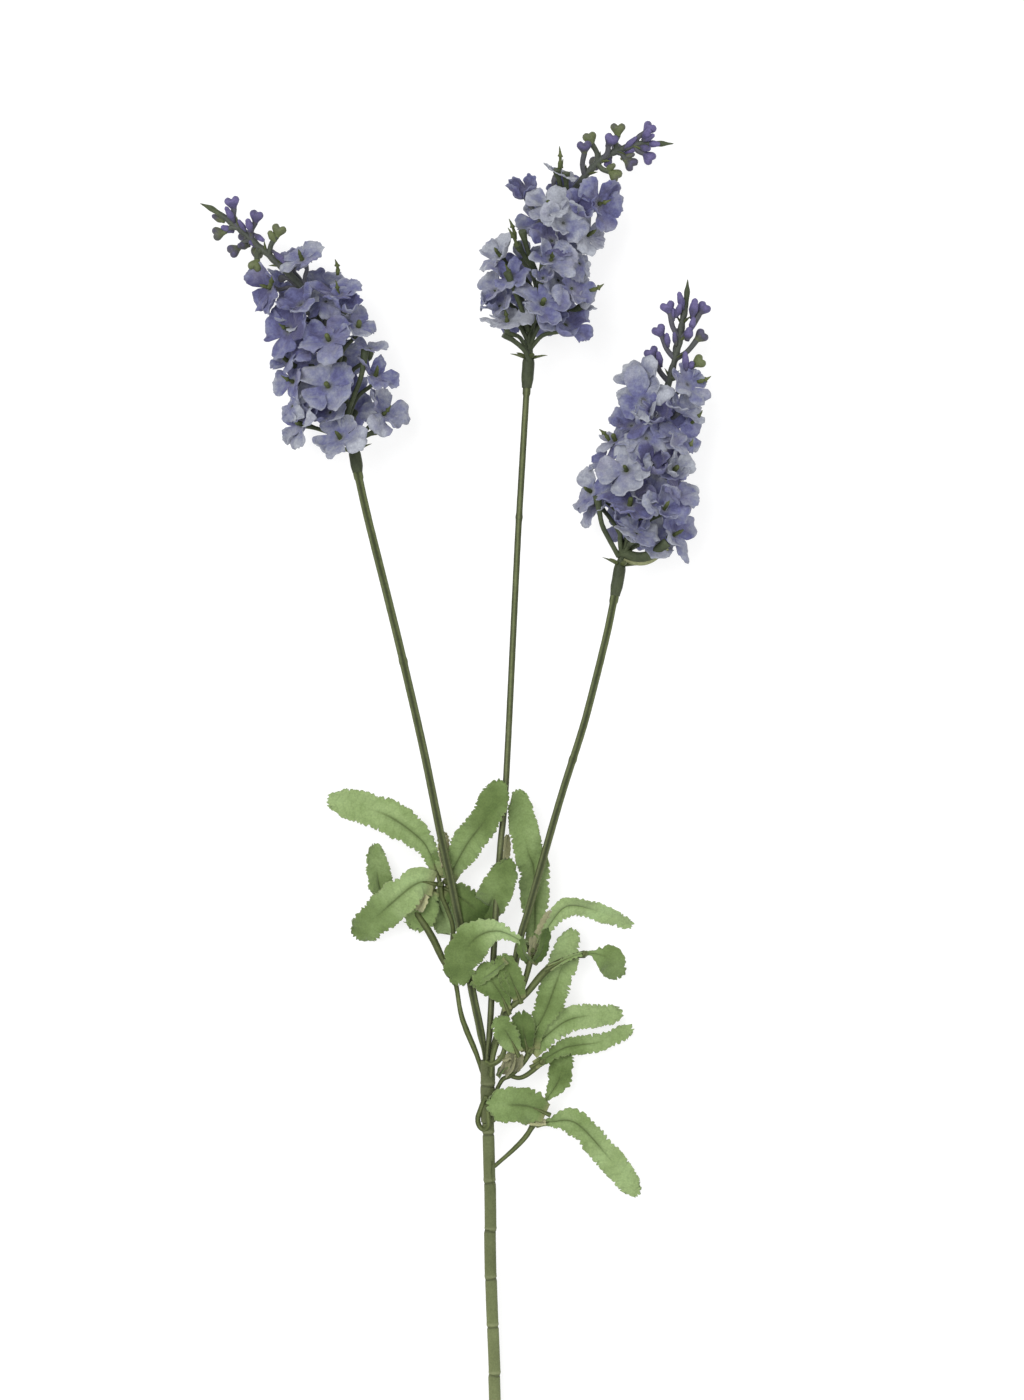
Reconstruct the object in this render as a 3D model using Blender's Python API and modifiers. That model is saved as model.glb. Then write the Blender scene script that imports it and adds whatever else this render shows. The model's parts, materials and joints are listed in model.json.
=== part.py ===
"""Artificial lavender spray: three flower spikes and four leafy twigs bound to one stem.

Tables are in millimetres, measured from the stem's cut end: x to the right, y along
the stem towards the flowers, z up from the surface that the spray lies on.
"""
import math

import bmesh
import bpy
from mathutils import Matrix, Vector

MM = 0.001
BOX_MIDDLE = (-15.8, 272.3)   # middle of the spray's box, from the cut end
GAP = 0.3                     # clearance between touching pieces

# Main stem: a wire core in a moulded plastic sleeve, rising evenly to the junction.
STEM_ROUTE = ((1.0, 0.0), (0.0, 60.0), (-1.5, 103.0), (-2.0, 140.0), (-2.6, 167.0), (-3.0, 189.0))
STEM_RISE = 10.8 / 188.0
CORE_RADIUS = 1.5
SLEEVE_RADIUS = 2.15
SLEEVE_WALL = 0.35
SLEEVE_END = 165.0
CORE_END = 163.0
JUNCTION_RADIUS = 2.65
JUNCTION_END = 189.0

# Flower stems: radius along each route, from the thin tail in the junction to the socket.
TAIL_RADIUS = 0.65
TAIL_END = 22.0
SWELL_END = 31.0
STEM_SPACING = 14.0           # between the points of a nearly straight stem
STEM_ROUTES = {
    "left": ((-3.65, 168.0, 11.2), (-4.05, 189.0, 12.4), (-5.4, 199.0, 13.2), (-8.7, 215.0, 14.2),
             (-13.3, 240.0, 15.5), (-20.5, 274.0, 17.0), (-27.4, 308.0, 18.0), (-35.2, 342.0, 18.8),
             (-40.3, 363.0, 19.2), (-48.3, 395.0, 19.5), (-52.1, 412.0, 19.6)),
    "middle": ((-2.6, 168.0, 13.0), (-3.0, 189.0, 14.2), (-2.1, 199.0, 14.4), (-1.5, 210.0, 14.8),
               (0.0, 240.0, 16.6), (1.9, 269.0, 17.4), (4.2, 296.0, 17.9), (8.3, 380.0, 19.4),
               (9.8, 407.0, 19.6), (12.0, 444.0, 19.7)),
    "right": ((-1.6, 168.0, 11.2), (-1.95, 189.0, 12.4), (1.2, 199.0, 13.0), (4.9, 212.0, 13.8),
              (9.5, 235.0, 14.9), (13.3, 248.0, 15.5), (24.7, 288.0, 17.4), (32.3, 312.0, 18.2),
              (35.7, 324.0, 18.5), (42.2, 350.0, 19.2), (45.3, 365.2, 19.5)),
}
STEM_RADII = {"left": 1.5, "middle": 1.2, "right": 1.4}

# Rachis of each spike, from the socket to the pointed tip.
RACHIS_ROUTES = {
    "left": ((-52.2, 412.45, 19.6), (-53.3, 419.5, 19.6), (-57.0, 440.0, 20.0), (-62.7, 459.0, 20.0),
             (-72.2, 480.7, 19.6), (-82.5, 491.7, 19.2), (-91.2, 499.7, 18.6), (-98.8, 506.5, 18.0),
             (-106.8, 512.2, 17.2), (-112.1, 514.9, 16.6)),
    "middle": ((12.0, 444.45, 19.7), (12.7, 455.0, 19.8), (13.2, 463.0, 20.0), (14.8, 472.3, 20.2),
               (17.5, 487.1, 20.2), (20.8, 501.0, 20.0), (28.1, 516.4, 19.5), (35.9, 527.0, 19.0),
               (42.2, 532.6, 18.6), (48.6, 535.6, 18.2), (55.5, 537.4, 17.6), (67.9, 537.6, 16.8)),
    "right": ((45.5, 365.65, 19.5), (46.5, 371.0, 19.6), (48.6, 381.0, 19.8), (55.1, 396.0, 20.0),
              (58.9, 417.2, 20.2), (63.8, 438.1, 20.0), (66.7, 449.5, 19.6), (69.5, 459.8, 19.2),
              (71.1, 469.3, 18.8), (72.6, 477.2, 18.4), (73.3, 485.8, 18.0)),
}
SOCKET_LENGTH = {"left": 8.0, "middle": 11.0, "right": 11.5}
SOCKET_RADIUS = 2.3
RACHIS_RADIUS = 1.25
RACHIS_TIP_RADIUS = 0.75
RACHIS_STEPS = 10
TIP_LENGTH = 9.0
TIP_BULGE = 1.5
TIP_POINT = 0.25

# Whorls: distance along the rachis, ring radius, and each floret's angle around it
# (0 faces up, 90 faces right when looking towards the tip).
WHORLS = {
    "left": ((17.5, 13.0, (-85, -22, 30, 80, 145, -145)),
             (31.0, 15.0, (-78, -18, 40, 92, 145, -140)),
             (44.5, 16.2, (-85, -40, 6, 70, 130, -142)),
             (58.0, 15.0, (-75, -28, 28, 80, 135, -135)),
             (71.0, 13.0, (-62, 0, 58, 125, -130)),
             (83.0, 10.5, (-52, 44, 130, -140))),
    "middle": ((21.0, 13.5, (-52, 10, 68, 135, -125)),
               (35.0, 15.5, (-80, -28, 22, 80, 140, -140)),
               (49.0, 16.3, (-80, -30, 14, 70, 130, -138)),
               (63.0, 14.5, (-78, -28, 14, 64, 128, -132)),
               (78.0, 12.5, (-65, 5, 70, 140, -140))),
    "right": ((20.2, 15.2, (-88, -42, 6, 48, 92, 148, -142)),
              (34.0, 16.1, (-82, -22, 38, 92, 150, -142)),
              (47.0, 15.2, (-85, -35, 12, 62, 125, -140)),
              (60.0, 14.0, (-76, -20, 32, 88, 142, -135)),
              (73.0, 11.5, (-52, 42, 130, -140))),
}
WHORL_TILT = math.radians(35)  # florets face out and partly towards the tip
PETAL_REACH = 7.4
NOTCH_REACH = 4.4
CUP_DEPTH = 1.6
PETAL_WALL = 0.5
HOLE_HALF = 1.05
BRANCH_DROP = 13.0
PIN_RADIUS = 0.7
PIN_LENGTH = 3.6
BRANCH_RADIUS = 0.85
CUP_RADIUS = 1.7
CUP_LENGTH = 2.4

# Buds: where the stalk leaves the rachis, and the bud's outer end.
BUDS = {
    "left": ((107, (-99.9, 515.8, 20.0)), (107, (-106.0, 503.1, 18.0)), (100, (-90.3, 510.3, 21.5)),
             (100, (-99.9, 496.2, 19.5)), (91, (-81.7, 505.0, 21.0)), (95, (-91.0, 489.8, 23.5)),
             (100, (-95.5, 503.5, 10.5)), (95, (-91.0, 497.0, 10.0)), (112, (-107.2, 509.0, 14.0))),
    "middle": ((101, (46.7, 543.7, 20.0)), (92, (35.8, 540.3, 19.0)), (108, (59.2, 544.0, 18.5)),
               (108, (59.2, 531.5, 18.5)), (100, (52.2, 529.0, 20.0)), (92, (46.3, 524.6, 21.0)),
               (101, (47.0, 536.5, 10.0)), (93, (38.0, 531.0, 9.5)), (92, (41.0, 534.0, 27.0))),
    "right": ((101, (65.3, 476.0, 19.5)), (103, (69.8, 480.0, 21.5)), (101, (79.8, 475.5, 19.0)),
              (93, (61.9, 467.0, 19.5)), (93, (79.0, 464.8, 19.5)), (84, (59.0, 458.5, 20.5)),
              (85, (78.2, 454.8, 21.0)), (96, (73.0, 468.5, 26.5)), (94, (71.0, 466.0, 10.5))),
}
BUD_STALK_RADIUS = 0.65
BUD_RADIUS = 1.7
BUD_START = 0.55              # parts of the way from the rachis to the bud's outer end
BUD_WIDEST = 0.82

# Twigs: a trunk route and the routes that fork from it.
TWIG_RADIUS = 0.85
TWIG_SPACING = 5.0
TWIGS = {
    "left": (((-6.5, 184.0, 11.6), (-7.4, 191.0, 12.0), (-12.2, 204.4, 12.4), (-14.4, 215.8, 12.4),
              (-16.0, 224.9, 12.3), (-16.2, 233.0, 12.1), (-16.2, 240.0, 12.0), (-18.2, 246.0, 12.0),
              (-20.2, 251.0, 12.0), (-20.9, 255.6, 12.2)),
             ((-15.8, 224.0, 12.3), (-18.6, 228.5, 11.8), (-23.6, 236.7, 10.8), (-31.2, 246.6, 9.6))),
    "centre": (((-1.5, 184.0, 16.4), (-0.5, 192.0, 16.9), (1.9, 199.0, 17.2), (4.9, 207.0, 17.2),
                (10.0, 215.5, 16.4), (13.0, 225.0, 15.2), (14.1, 230.5, 14.6)),
               ((7.5, 210.5, 16.9), (12.0, 214.5, 16.6), (19.8, 223.4, 15.6), (29.0, 228.0, 14.2),
                (34.2, 229.2, 13.5))),
    "right": (((0.95, 178.0, 12.5), (3.0, 181.4, 12.6), (6.1, 183.0, 12.5), (10.6, 187.6, 12.4),
               (13.3, 191.9, 12.4)),
              ((5.5, 182.8, 12.5), (9.4, 181.8, 11.4), (13.2, 183.6, 10.8), (17.9, 187.7, 10.4))),
    "lower": (((0.75, 149.4, 10.7), (6.1, 154.6, 10.1), (11.0, 159.6, 9.6), (14.4, 164.0, 9.2)),),
}
WIRE_END_ROUTE = ((-6.3, 171.5, 12.0), (-7.3, 168.0, 11.8), (-7.5, 164.5, 11.4), (-6.4, 162.0, 11.0),
                  (-5.4, 161.6, 11.2))
WIRE_END_RADIUS = 0.6

# Leaves: midrib route, greatest width and roll in degrees about the midrib.
LEAVES = {
    "leaf_left_long": (((-21.7, 258.6, 12.2), (-24.6, 268.0, 12.8), (-29.5, 275.0, 13.6),
                        (-43.3, 284.0, 14.4), (-64.2, 288.4, 9.0)), 14.4, 0),
    "leaf_left_upper": (((-18.2, 257.6, 11.2), (-15.0, 261.6, 12.0), (-9.0, 271.0, 17.0),
                         (-2.3, 281.0, 20.8), (2.3, 296.4, 21.6)), 15.0, 0),
    "leaf_left_broad": (((-23.4, 255.9, 12.3), (-28.9, 255.8, 15.5), (-36.0, 250.0, 15.5),
                         (-53.2, 234.0, 3.5)), 15.6, 0),
    "leaf_left_small": (((-31.7, 247.3, 9.5), (-40.5, 254.0, 8.2), (-46.0, 271.7, 9.0)), 10.0, 0),
    "leaf_left_under": (((-23.2, 253.6, 11.0), (-29.0, 249.0, 7.6), (-37.5, 243.5, 5.0)), 8.0, 0),
    "leaf_left_drooping": (((-20.8, 251.6, 10.0), (-20.0, 246.0, 7.0), (-17.0, 236.5, 2.5)), 7.0, 0),
    "leaf_left_dark": (((-18.8, 254.2, 10.0), (-11.4, 249.0, 10.2), (-1.0, 242.5, 8.0)), 12.0, 0),
    "leaf_middle_folded": (((-18.4, 256.0, 12.6), (-12.5, 253.0, 12.7), (-4.0, 250.5, 16.6),
                            (1.5, 254.0, 20.4), (7.2, 261.5, 20.8)), 13.0, 0),
    "leaf_centre_upright": (((14.2, 231.4, 14.0), (14.2, 237.0, 11.4), (14.1, 248.0, 10.6),
                             (14.1, 262.0, 11.4), (11.8, 270.0, 12.6), (8.7, 292.6, 14.0)), 15.0, 0),
    "leaf_centre_arching": (((13.4, 231.4, 15.7), (8.5, 237.6, 19.0), (0.0, 240.2, 21.6),
                             (-7.5, 237.0, 22.4), (-12.6, 229.0, 20.8), (-14.8, 216.9, 18.2)), 15.0, 0),
    "leaf_centre_narrow": (((15.9, 231.4, 15.0), (21.5, 243.0, 17.0), (27.7, 249.5, 17.8),
                            (38.0, 247.5, 15.0), (52.8, 240.5, 8.0)), 9.0, 25),
    "leaf_fold_left": (((4.9, 208.2, 18.6), (0.3, 215.0, 17.8), (-6.0, 219.0, 17.4)), 9.0, 0),
    "leaf_fold_right": (((9.0, 214.6, 17.9), (8.2, 221.0, 20.2), (5.4, 230.5, 19.6)), 8.0, 0),
    "leaf_on_stalk": (((34.9, 229.3, 13.4), (40.5, 229.2, 13.8), (45.0, 226.2, 12.0),
                       (47.6, 218.6, 6.0)), 13.0, 0),
    "leaf_right_tall": (((14.2, 193.2, 13.2), (15.2, 200.2, 13.6), (18.4, 207.0, 13.6),
                         (21.7, 217.3, 12.4), (29.3, 239.7, 8.0)), 13.6, 0),
    "leaf_right_wide": (((14.4, 192.3, 12.0), (22.4, 200.0, 11.2), (31.0, 204.8, 11.6),
                         (49.0, 205.6, 7.0)), 11.0, 0),
    "leaf_right_narrow": (((18.7, 188.1, 10.3), (24.0, 192.0, 8.2), (38.0, 197.0, 7.8),
                           (52.8, 200.6, 4.0)), 8.4, 0),
    "leaf_small_light": (((10.2, 189.2, 13.8), (7.4, 195.5, 18.2), (4.4, 200.5, 19.8),
                          (0.8, 205.5, 19.8)), 9.0, 0),
    "leaf_small_dark": (((12.4, 192.4, 13.8), (11.0, 199.0, 16.0), (9.6, 206.6, 15.2)), 6.0, 0),
    "leaf_low_upright": (((14.9, 166.0, 9.6), (18.4, 172.0, 10.2), (23.6, 180.0, 8.0),
                          (25.8, 190.0, 4.6)), 8.4, 0),
    "leaf_low_across": (((14.2, 165.4, 10.6), (12.4, 169.6, 12.6), (6.0, 172.2, 15.8),
                         (0.0, 172.4, 17.2), (-4.2, 172.0, 17.2)), 12.6, 0),
    "leaf_low_drooping": (((15.6, 163.8, 8.6), (22.0, 165.0, 7.8), (31.0, 163.8, 8.8),
                           (43.3, 151.0, 5.5), (55.5, 137.1, 0.9)), 12.2, 0),
}
LEAF_STATIONS = 7
LEAF_WALL = 0.5
LEAF_BASE_HALF = 1.0
LEAF_FOLD = 0.16              # rise of the edges over the midrib, per unit of half width

PALETTE = {
    "sleeve_green": ((0.19, 0.22, 0.11), 0.6, 0.0),
    "wire_grey": ((0.45, 0.45, 0.43), 0.35, 1.0),
    "stem_green": ((0.10, 0.15, 0.05), 0.5, 0.0),
    "bud_green": ((0.12, 0.14, 0.09), 0.55, 0.0),
    "petal_lavender": ((0.26, 0.27, 0.50), 0.85, 0.0),
    "leaf_green": ((0.20, 0.31, 0.11), 0.8, 0.0),
}


def clear_scene():
    for item in list(bpy.data.objects):
        bpy.data.objects.remove(item, do_unlink=True)


def new_collection(name):
    collection = bpy.data.collections.new(name)
    bpy.context.scene.collection.children.link(collection)
    return collection


def make_materials():
    made = {}
    for name, (colour, roughness, metallic) in PALETTE.items():
        made[name] = bpy.data.materials.new(name)
        made[name].use_nodes = True
        shader = made[name].node_tree.nodes["Principled BSDF"]
        shader.inputs["Base Color"].default_value = (*colour, 1.0)
        shader.inputs["Roughness"].default_value = roughness
        shader.inputs["Metallic"].default_value = metallic
    return made


def spline_point(points, index, share):
    """Point of the smooth curve through the points, between index and index + 1."""
    last = len(points) - 1
    before, start = points[max(index - 1, 0)], points[index]
    end, after = points[min(index + 1, last)], points[min(index + 2, last)]
    run_in, run_out = (end - before) / 2, (after - start) / 2
    s2, s3 = share ** 2, share ** 3
    return ((2 * s3 - 3 * s2 + 1) * start + (s3 - 2 * s2 + share) * run_in
            + (3 * s2 - 2 * s3) * end + (s3 - s2) * run_out)


class Route:
    """A smooth curve through hand-chosen points, read by distance along it."""

    def __init__(self, points, samples=12):
        points = [Vector(point) for point in points]
        self.points = [points[0]]
        for index in range(len(points) - 1):
            for step in range(1, samples + 1):
                self.points.append(spline_point(points, index, step / samples))
        self.reach = [0.0]
        for start, end in zip(self.points, self.points[1:]):
            self.reach.append(self.reach[-1] + (end - start).length)
        self.length = self.reach[-1]

    def at(self, distance):
        distance = min(max(distance, 0.0), self.length)
        index = 1
        while index < len(self.reach) - 1 and self.reach[index] < distance:
            index += 1
        span = self.reach[index] - self.reach[index - 1]
        share = (distance - self.reach[index - 1]) / span
        return self.points[index - 1].lerp(self.points[index], share)

    def direction(self, distance):
        step = 0.5
        return (self.at(distance + step) - self.at(distance - step)).normalized()


def frame_at(route, distance):
    """Position, direction, right-hand side and upward side of a route."""
    forward = route.direction(distance)
    side = forward.cross(Vector((0, 0, 1))).normalized()
    return route.at(distance), forward, side, side.cross(forward)


def place(item, collection, parent, material):
    collection.objects.link(item)
    item.parent = parent
    item.data.materials.append(material)
    return item


def tube_mesh(name, runs, sides=6, capped=True):
    """One mesh of tubes; each run is a list of (point, radius)."""
    curve = bpy.data.curves.new(name, "CURVE")
    curve.dimensions = "3D"
    curve.bevel_depth = MM
    curve.bevel_resolution = (sides - 4) // 2
    curve.use_fill_caps = capped
    for run in runs:
        spline = curve.splines.new("POLY")
        spline.points.add(len(run) - 1)
        for knot, (point, radius) in zip(spline.points, run):
            knot.co = (*(Vector(point) * MM), 1.0)
            knot.radius = radius
    source = bpy.data.objects.new(name, curve)
    bpy.context.scene.collection.objects.link(source)
    evaluated = source.evaluated_get(bpy.context.evaluated_depsgraph_get())
    mesh = bpy.data.meshes.new_from_object(evaluated)
    bpy.data.objects.remove(source, do_unlink=True)
    bpy.data.curves.remove(curve)
    mesh.name = name
    work = bmesh.new()
    work.from_mesh(mesh)
    bmesh.ops.remove_doubles(work, verts=work.verts, dist=0.00001)
    bmesh.ops.recalc_face_normals(work, faces=work.faces)
    work.to_mesh(mesh)
    work.free()
    mesh.shade_smooth()
    mesh.set_sharp_from_angle(angle=math.radians(50))
    return mesh


def add_tube(kit, name, material, runs, sides=6):
    item = bpy.data.objects.new(name, tube_mesh(name, runs, sides))
    return place(item, kit["parts"], kit["spray"], kit["materials"][material])


def fuse(kit, item, runs, sides=4):
    """Union the item with more tubes that start inside it."""
    name = item.name + "_cutter"
    cutter = bpy.data.objects.new(name, tube_mesh(name, runs, sides))
    place(cutter, kit["cutters"], kit["spray"], item.data.materials[0])
    cutter.hide_render = True
    cutter.display_type = "WIRE"
    union = item.modifiers.new("union", "BOOLEAN")
    union.operation = "UNION"
    union.solver = "EXACT"
    union.use_self = True
    union.object = cutter


def even_run(route, start, end, spacing, radius):
    """Evenly spaced points between two distances; radius may be a function of distance."""
    count = max(2, round((end - start) / spacing))
    stops = [start + (end - start) * step / count for step in range(count + 1)]
    return [(route.at(stop), radius(stop) if callable(radius) else radius) for stop in stops]


def stem_axis():
    return Route([(x, y, SLEEVE_RADIUS + y * STEM_RISE) for x, y in STEM_ROUTE])


def add_sleeve(kit, name, route, start, end, radius):
    """A moulded sleeve: an open tube given a wall inwards."""
    run = even_run(route, start, end, STEM_SPACING, radius)
    mesh = tube_mesh(name, [run], sides=8, capped=False)
    item = place(bpy.data.objects.new(name, mesh), kit["parts"], kit["spray"],
                 kit["materials"]["sleeve_green"])
    wall = item.modifiers.new("wall", "SOLIDIFY")
    wall.thickness = SLEEVE_WALL * MM
    wall.offset = -1.0


def add_main_stem(kit):
    axis = stem_axis()
    add_tube(kit, "main_stem_wire", "wire_grey",
             [even_run(axis, GAP, CORE_END, STEM_SPACING, CORE_RADIUS)], sides=8)
    add_sleeve(kit, "main_stem_sleeve", axis, 0.0, SLEEVE_END, SLEEVE_RADIUS)
    add_sleeve(kit, "junction_sleeve", axis, SLEEVE_END + GAP, JUNCTION_END, JUNCTION_RADIUS)


def add_flower_stem(kit, side):
    route = Route(STEM_ROUTES[side])

    def radius(distance):
        share = min(max((distance - TAIL_END) / (SWELL_END - TAIL_END), 0.0), 1.0)
        return TAIL_RADIUS + share * (STEM_RADII[side] - TAIL_RADIUS)

    run = even_run(route, 0.0, SWELL_END, TWIG_SPACING, radius)
    run += even_run(route, SWELL_END, route.length, STEM_SPACING, STEM_RADII[side])[1:]
    add_tube(kit, side + "_flower_stem", "stem_green", [run])


def rachis_run(side):
    """Socket, rachis and pointed tip as one tapering tube."""
    route = Route(RACHIS_ROUTES[side])
    socket = SOCKET_LENGTH[side]
    run = [(route.at(0.0), SOCKET_RADIUS - 0.5), (route.at(0.6 * socket), SOCKET_RADIUS),
           (route.at(socket - 1.0), SOCKET_RADIUS), (route.at(socket), RACHIS_RADIUS)]
    tip_start = route.length - TIP_LENGTH
    for step in range(1, RACHIS_STEPS + 1):
        share = step / RACHIS_STEPS
        stop = socket + (tip_start - socket) * share
        run.append((route.at(stop), RACHIS_RADIUS * (1 - share) + RACHIS_TIP_RADIUS * share))
    run += [(route.at(tip_start + 0.45 * TIP_LENGTH), TIP_BULGE), (route.at(route.length), TIP_POINT)]
    return route, run


def floret_seat(route, along, ring, angle):
    """Hub point and facing direction of one floret of a whorl."""
    centre, forward, side, up = frame_at(route, along)
    out = up * math.cos(angle) + side * math.sin(angle)
    facing = out * math.cos(WHORL_TILT) + forward * math.sin(WHORL_TILT)
    return centre + out * ring, facing, out


def branch_run(route, socket, along, ring, angle):
    """A branch from the rachis to a flared cup, with the pin that holds the floret."""
    hub, facing, out = floret_seat(route, along, ring, angle)
    root = max(along - BRANCH_DROP, socket + 1.0)
    cup_rim = PETAL_WALL / 2 + GAP
    return [(route.at(root), BRANCH_RADIUS),
            (route.at((root + along) / 2) + out * ring * 0.36, BRANCH_RADIUS),
            (hub - facing * CUP_LENGTH, BRANCH_RADIUS),
            (hub - facing * cup_rim, CUP_RADIUS),
            (hub - facing * (cup_rim - 0.1), PIN_RADIUS),
            (hub + facing * PIN_LENGTH, PIN_RADIUS / 2)]


def bud_run(route, along, end):
    """A bud on its stalk, swelling near its outer end."""
    start, end = route.at(along), Vector(end)
    return [(start, BUD_STALK_RADIUS), (start.lerp(end, BUD_START), BUD_STALK_RADIUS),
            (start.lerp(end, BUD_WIDEST), BUD_RADIUS), (end, BUD_RADIUS * 0.6)]


def add_spike_frame(kit, side):
    route, run = rachis_run(side)
    frame = add_tube(kit, side + "_spike_frame", "bud_green", [run])
    runs = []
    for along, ring, angles in WHORLS[side]:
        for angle in angles:
            runs.append(branch_run(route, SOCKET_LENGTH[side], along, ring, math.radians(angle)))
    runs += [bud_run(route, along, end) for along, end in BUDS[side]]
    fuse(kit, frame, runs)


def whorl_columns(ring, angles):
    """Angles of the grid's columns: the notch before each floret, then its hole's two sides."""
    angles = sorted(angle % 360.0 for angle in angles)
    hole = math.degrees(HOLE_HALF / ring)
    columns = []
    for index, angle in enumerate(angles):
        before = angles[index - 1] - (360.0 if index == 0 else 0.0)
        columns += [("notch", (before + angle) / 2), ("left", angle - hole), ("right", angle + hole)]
    return columns


def add_whorl(kit, name, route, along, ring, angles):
    """One whorl's florets joined side by side: a scalloped open band with a hole for each pin."""
    centre, forward, side, up = frame_at(route, along)
    floor = PETAL_WALL / 2
    work = bmesh.new()
    grid = []
    columns = whorl_columns(ring, angles)
    for kind, degrees in columns:
        angle = math.radians(degrees)
        out = up * math.cos(angle) + side * math.sin(angle)
        across = forward * math.cos(WHORL_TILT) - out * math.sin(WHORL_TILT)
        facing = out * math.cos(WHORL_TILT) + forward * math.sin(WHORL_TILT)
        edge = NOTCH_REACH if kind == "notch" else PETAL_REACH
        column = []
        for reach in (-edge, -HOLE_HALF, HOLE_HALF, edge):
            cup = CUP_DEPTH if kind == "notch" or abs(reach) > HOLE_HALF else 0.0
            point = centre + out * ring + across * reach + facing * cup
            point.z = max(point.z, floor)
            column.append(work.verts.new(point * MM))
        grid.append(column)
    for index, (kind, _) in enumerate(columns):
        here, following = grid[index], grid[(index + 1) % len(grid)]
        for row in range(3):
            if kind == "left" and row == 1:
                continue
            work.faces.new((here[row], following[row], following[row + 1], here[row + 1]))
    bmesh.ops.recalc_face_normals(work, faces=work.faces)
    add_shell(kit, name, work, PETAL_WALL, "petal_lavender")


def add_shell(kit, name, work, thickness, material):
    """Turn an open bmesh surface into a part with a wall."""
    mesh = bpy.data.meshes.new(name)
    work.to_mesh(mesh)
    work.free()
    mesh.shade_smooth()
    item = place(bpy.data.objects.new(name, mesh), kit["parts"], kit["spray"],
                 kit["materials"][material])
    wall = item.modifiers.new("wall", "SOLIDIFY")
    wall.thickness = thickness * MM
    wall.offset = 0.0


def leaf_outline(share):
    """Half width of a leaf, as a part of its widest, from base to tip."""
    return math.sin(math.pi * (0.04 + 0.9 * share ** 0.85)) ** 0.7


def add_leaf(kit, name, points, width, roll):
    """A fabric leaf: a strip folded a little along its midrib."""
    route = Route(points)
    floor = LEAF_WALL / 2
    work = bmesh.new()
    rows = []
    for step in range(LEAF_STATIONS + 1):
        share = step / LEAF_STATIONS
        middle, forward, side, up = frame_at(route, share * route.length)
        turn = Matrix.Rotation(math.radians(roll), 3, forward)
        side, up = turn @ side, turn @ up
        half = max(width / 2 * leaf_outline(share), LEAF_BASE_HALF)
        row = []
        for across in (-half, 0.0, half):
            point = middle + side * across + up * abs(across) * LEAF_FOLD
            point.z = max(point.z, floor)
            row.append(work.verts.new(point * MM))
        rows.append(row)
    for here, following in zip(rows, rows[1:]):
        for column in range(2):
            work.faces.new((here[column], here[column + 1], following[column + 1],
                            following[column]))
    add_shell(kit, name, work, LEAF_WALL, "leaf_green")


def add_twig(kit, side, routes):
    """A moulded twig: a trunk and the fork that leaves it."""
    trunk = Route(routes[0])
    item = add_tube(kit, side + "_leaf_twig", "stem_green",
                    [even_run(trunk, 0.0, trunk.length, TWIG_SPACING, TWIG_RADIUS)])
    forks = [Route(points) for points in routes[1:]]
    if forks:
        runs = [even_run(fork, 0.0, fork.length, TWIG_SPACING, TWIG_RADIUS) for fork in forks]
        fuse(kit, item, runs, sides=6)


def main():
    clear_scene()
    kit = {"parts": new_collection("lavender_spray"), "cutters": new_collection("cutters"),
           "materials": make_materials()}
    spray = bpy.data.objects.new("spray", None)
    spray.location = (-BOX_MIDDLE[0] * MM, -BOX_MIDDLE[1] * MM, 0.0)
    kit["parts"].objects.link(spray)
    kit["spray"] = spray
    add_main_stem(kit)
    wire = Route(WIRE_END_ROUTE)
    add_tube(kit, "bound_wire_end", "stem_green",
             [even_run(wire, 0.0, wire.length, 2.0, WIRE_END_RADIUS)])
    for side in STEM_ROUTES:
        add_flower_stem(kit, side)
        add_spike_frame(kit, side)
        route = Route(RACHIS_ROUTES[side])
        for number, (along, ring, angles) in enumerate(WHORLS[side], start=1):
            add_whorl(kit, f"{side}_whorl_{number}", route, along, ring, angles)
    for side, routes in TWIGS.items():
        add_twig(kit, side, routes)
    for name, (points, width, roll) in LEAVES.items():
        add_leaf(kit, name, points, width, roll)


main()
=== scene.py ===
"""Looks of the artificial lavender spray: fabric florets, moulded green spikes and twigs,
printed fabric leaves and a stem in a jointed sleeve, laid down on a pale surface and seen from above.

Tables are in millimetres from the stem's cut end, as in the solid model: x to the right,
y along the stem towards the flowers, z up. place() moves a point into the frame.
"""
import json
import math

import bmesh
import bpy
from mathutils import Matrix, Vector, noise

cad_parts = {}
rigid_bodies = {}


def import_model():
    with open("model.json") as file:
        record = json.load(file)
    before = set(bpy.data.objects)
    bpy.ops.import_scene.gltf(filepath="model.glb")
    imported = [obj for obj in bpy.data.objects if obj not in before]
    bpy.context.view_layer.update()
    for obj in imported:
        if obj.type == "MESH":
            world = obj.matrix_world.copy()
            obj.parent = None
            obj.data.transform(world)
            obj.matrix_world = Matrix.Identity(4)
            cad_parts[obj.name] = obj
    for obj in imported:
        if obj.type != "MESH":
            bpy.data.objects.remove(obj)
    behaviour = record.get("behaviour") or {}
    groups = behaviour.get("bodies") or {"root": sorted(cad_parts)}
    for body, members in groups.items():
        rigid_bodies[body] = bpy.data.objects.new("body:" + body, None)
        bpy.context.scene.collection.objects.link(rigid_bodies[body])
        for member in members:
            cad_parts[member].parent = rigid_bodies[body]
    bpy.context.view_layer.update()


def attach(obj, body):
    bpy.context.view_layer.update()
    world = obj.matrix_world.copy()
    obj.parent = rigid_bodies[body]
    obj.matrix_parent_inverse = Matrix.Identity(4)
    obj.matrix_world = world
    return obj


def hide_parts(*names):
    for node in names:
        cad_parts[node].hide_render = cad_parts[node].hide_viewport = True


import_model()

MM = 0.001
BOX_MIDDLE = Vector((-15.8, 272.3, 0.0))

# ------------------------------------------------------------------ the stem

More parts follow.
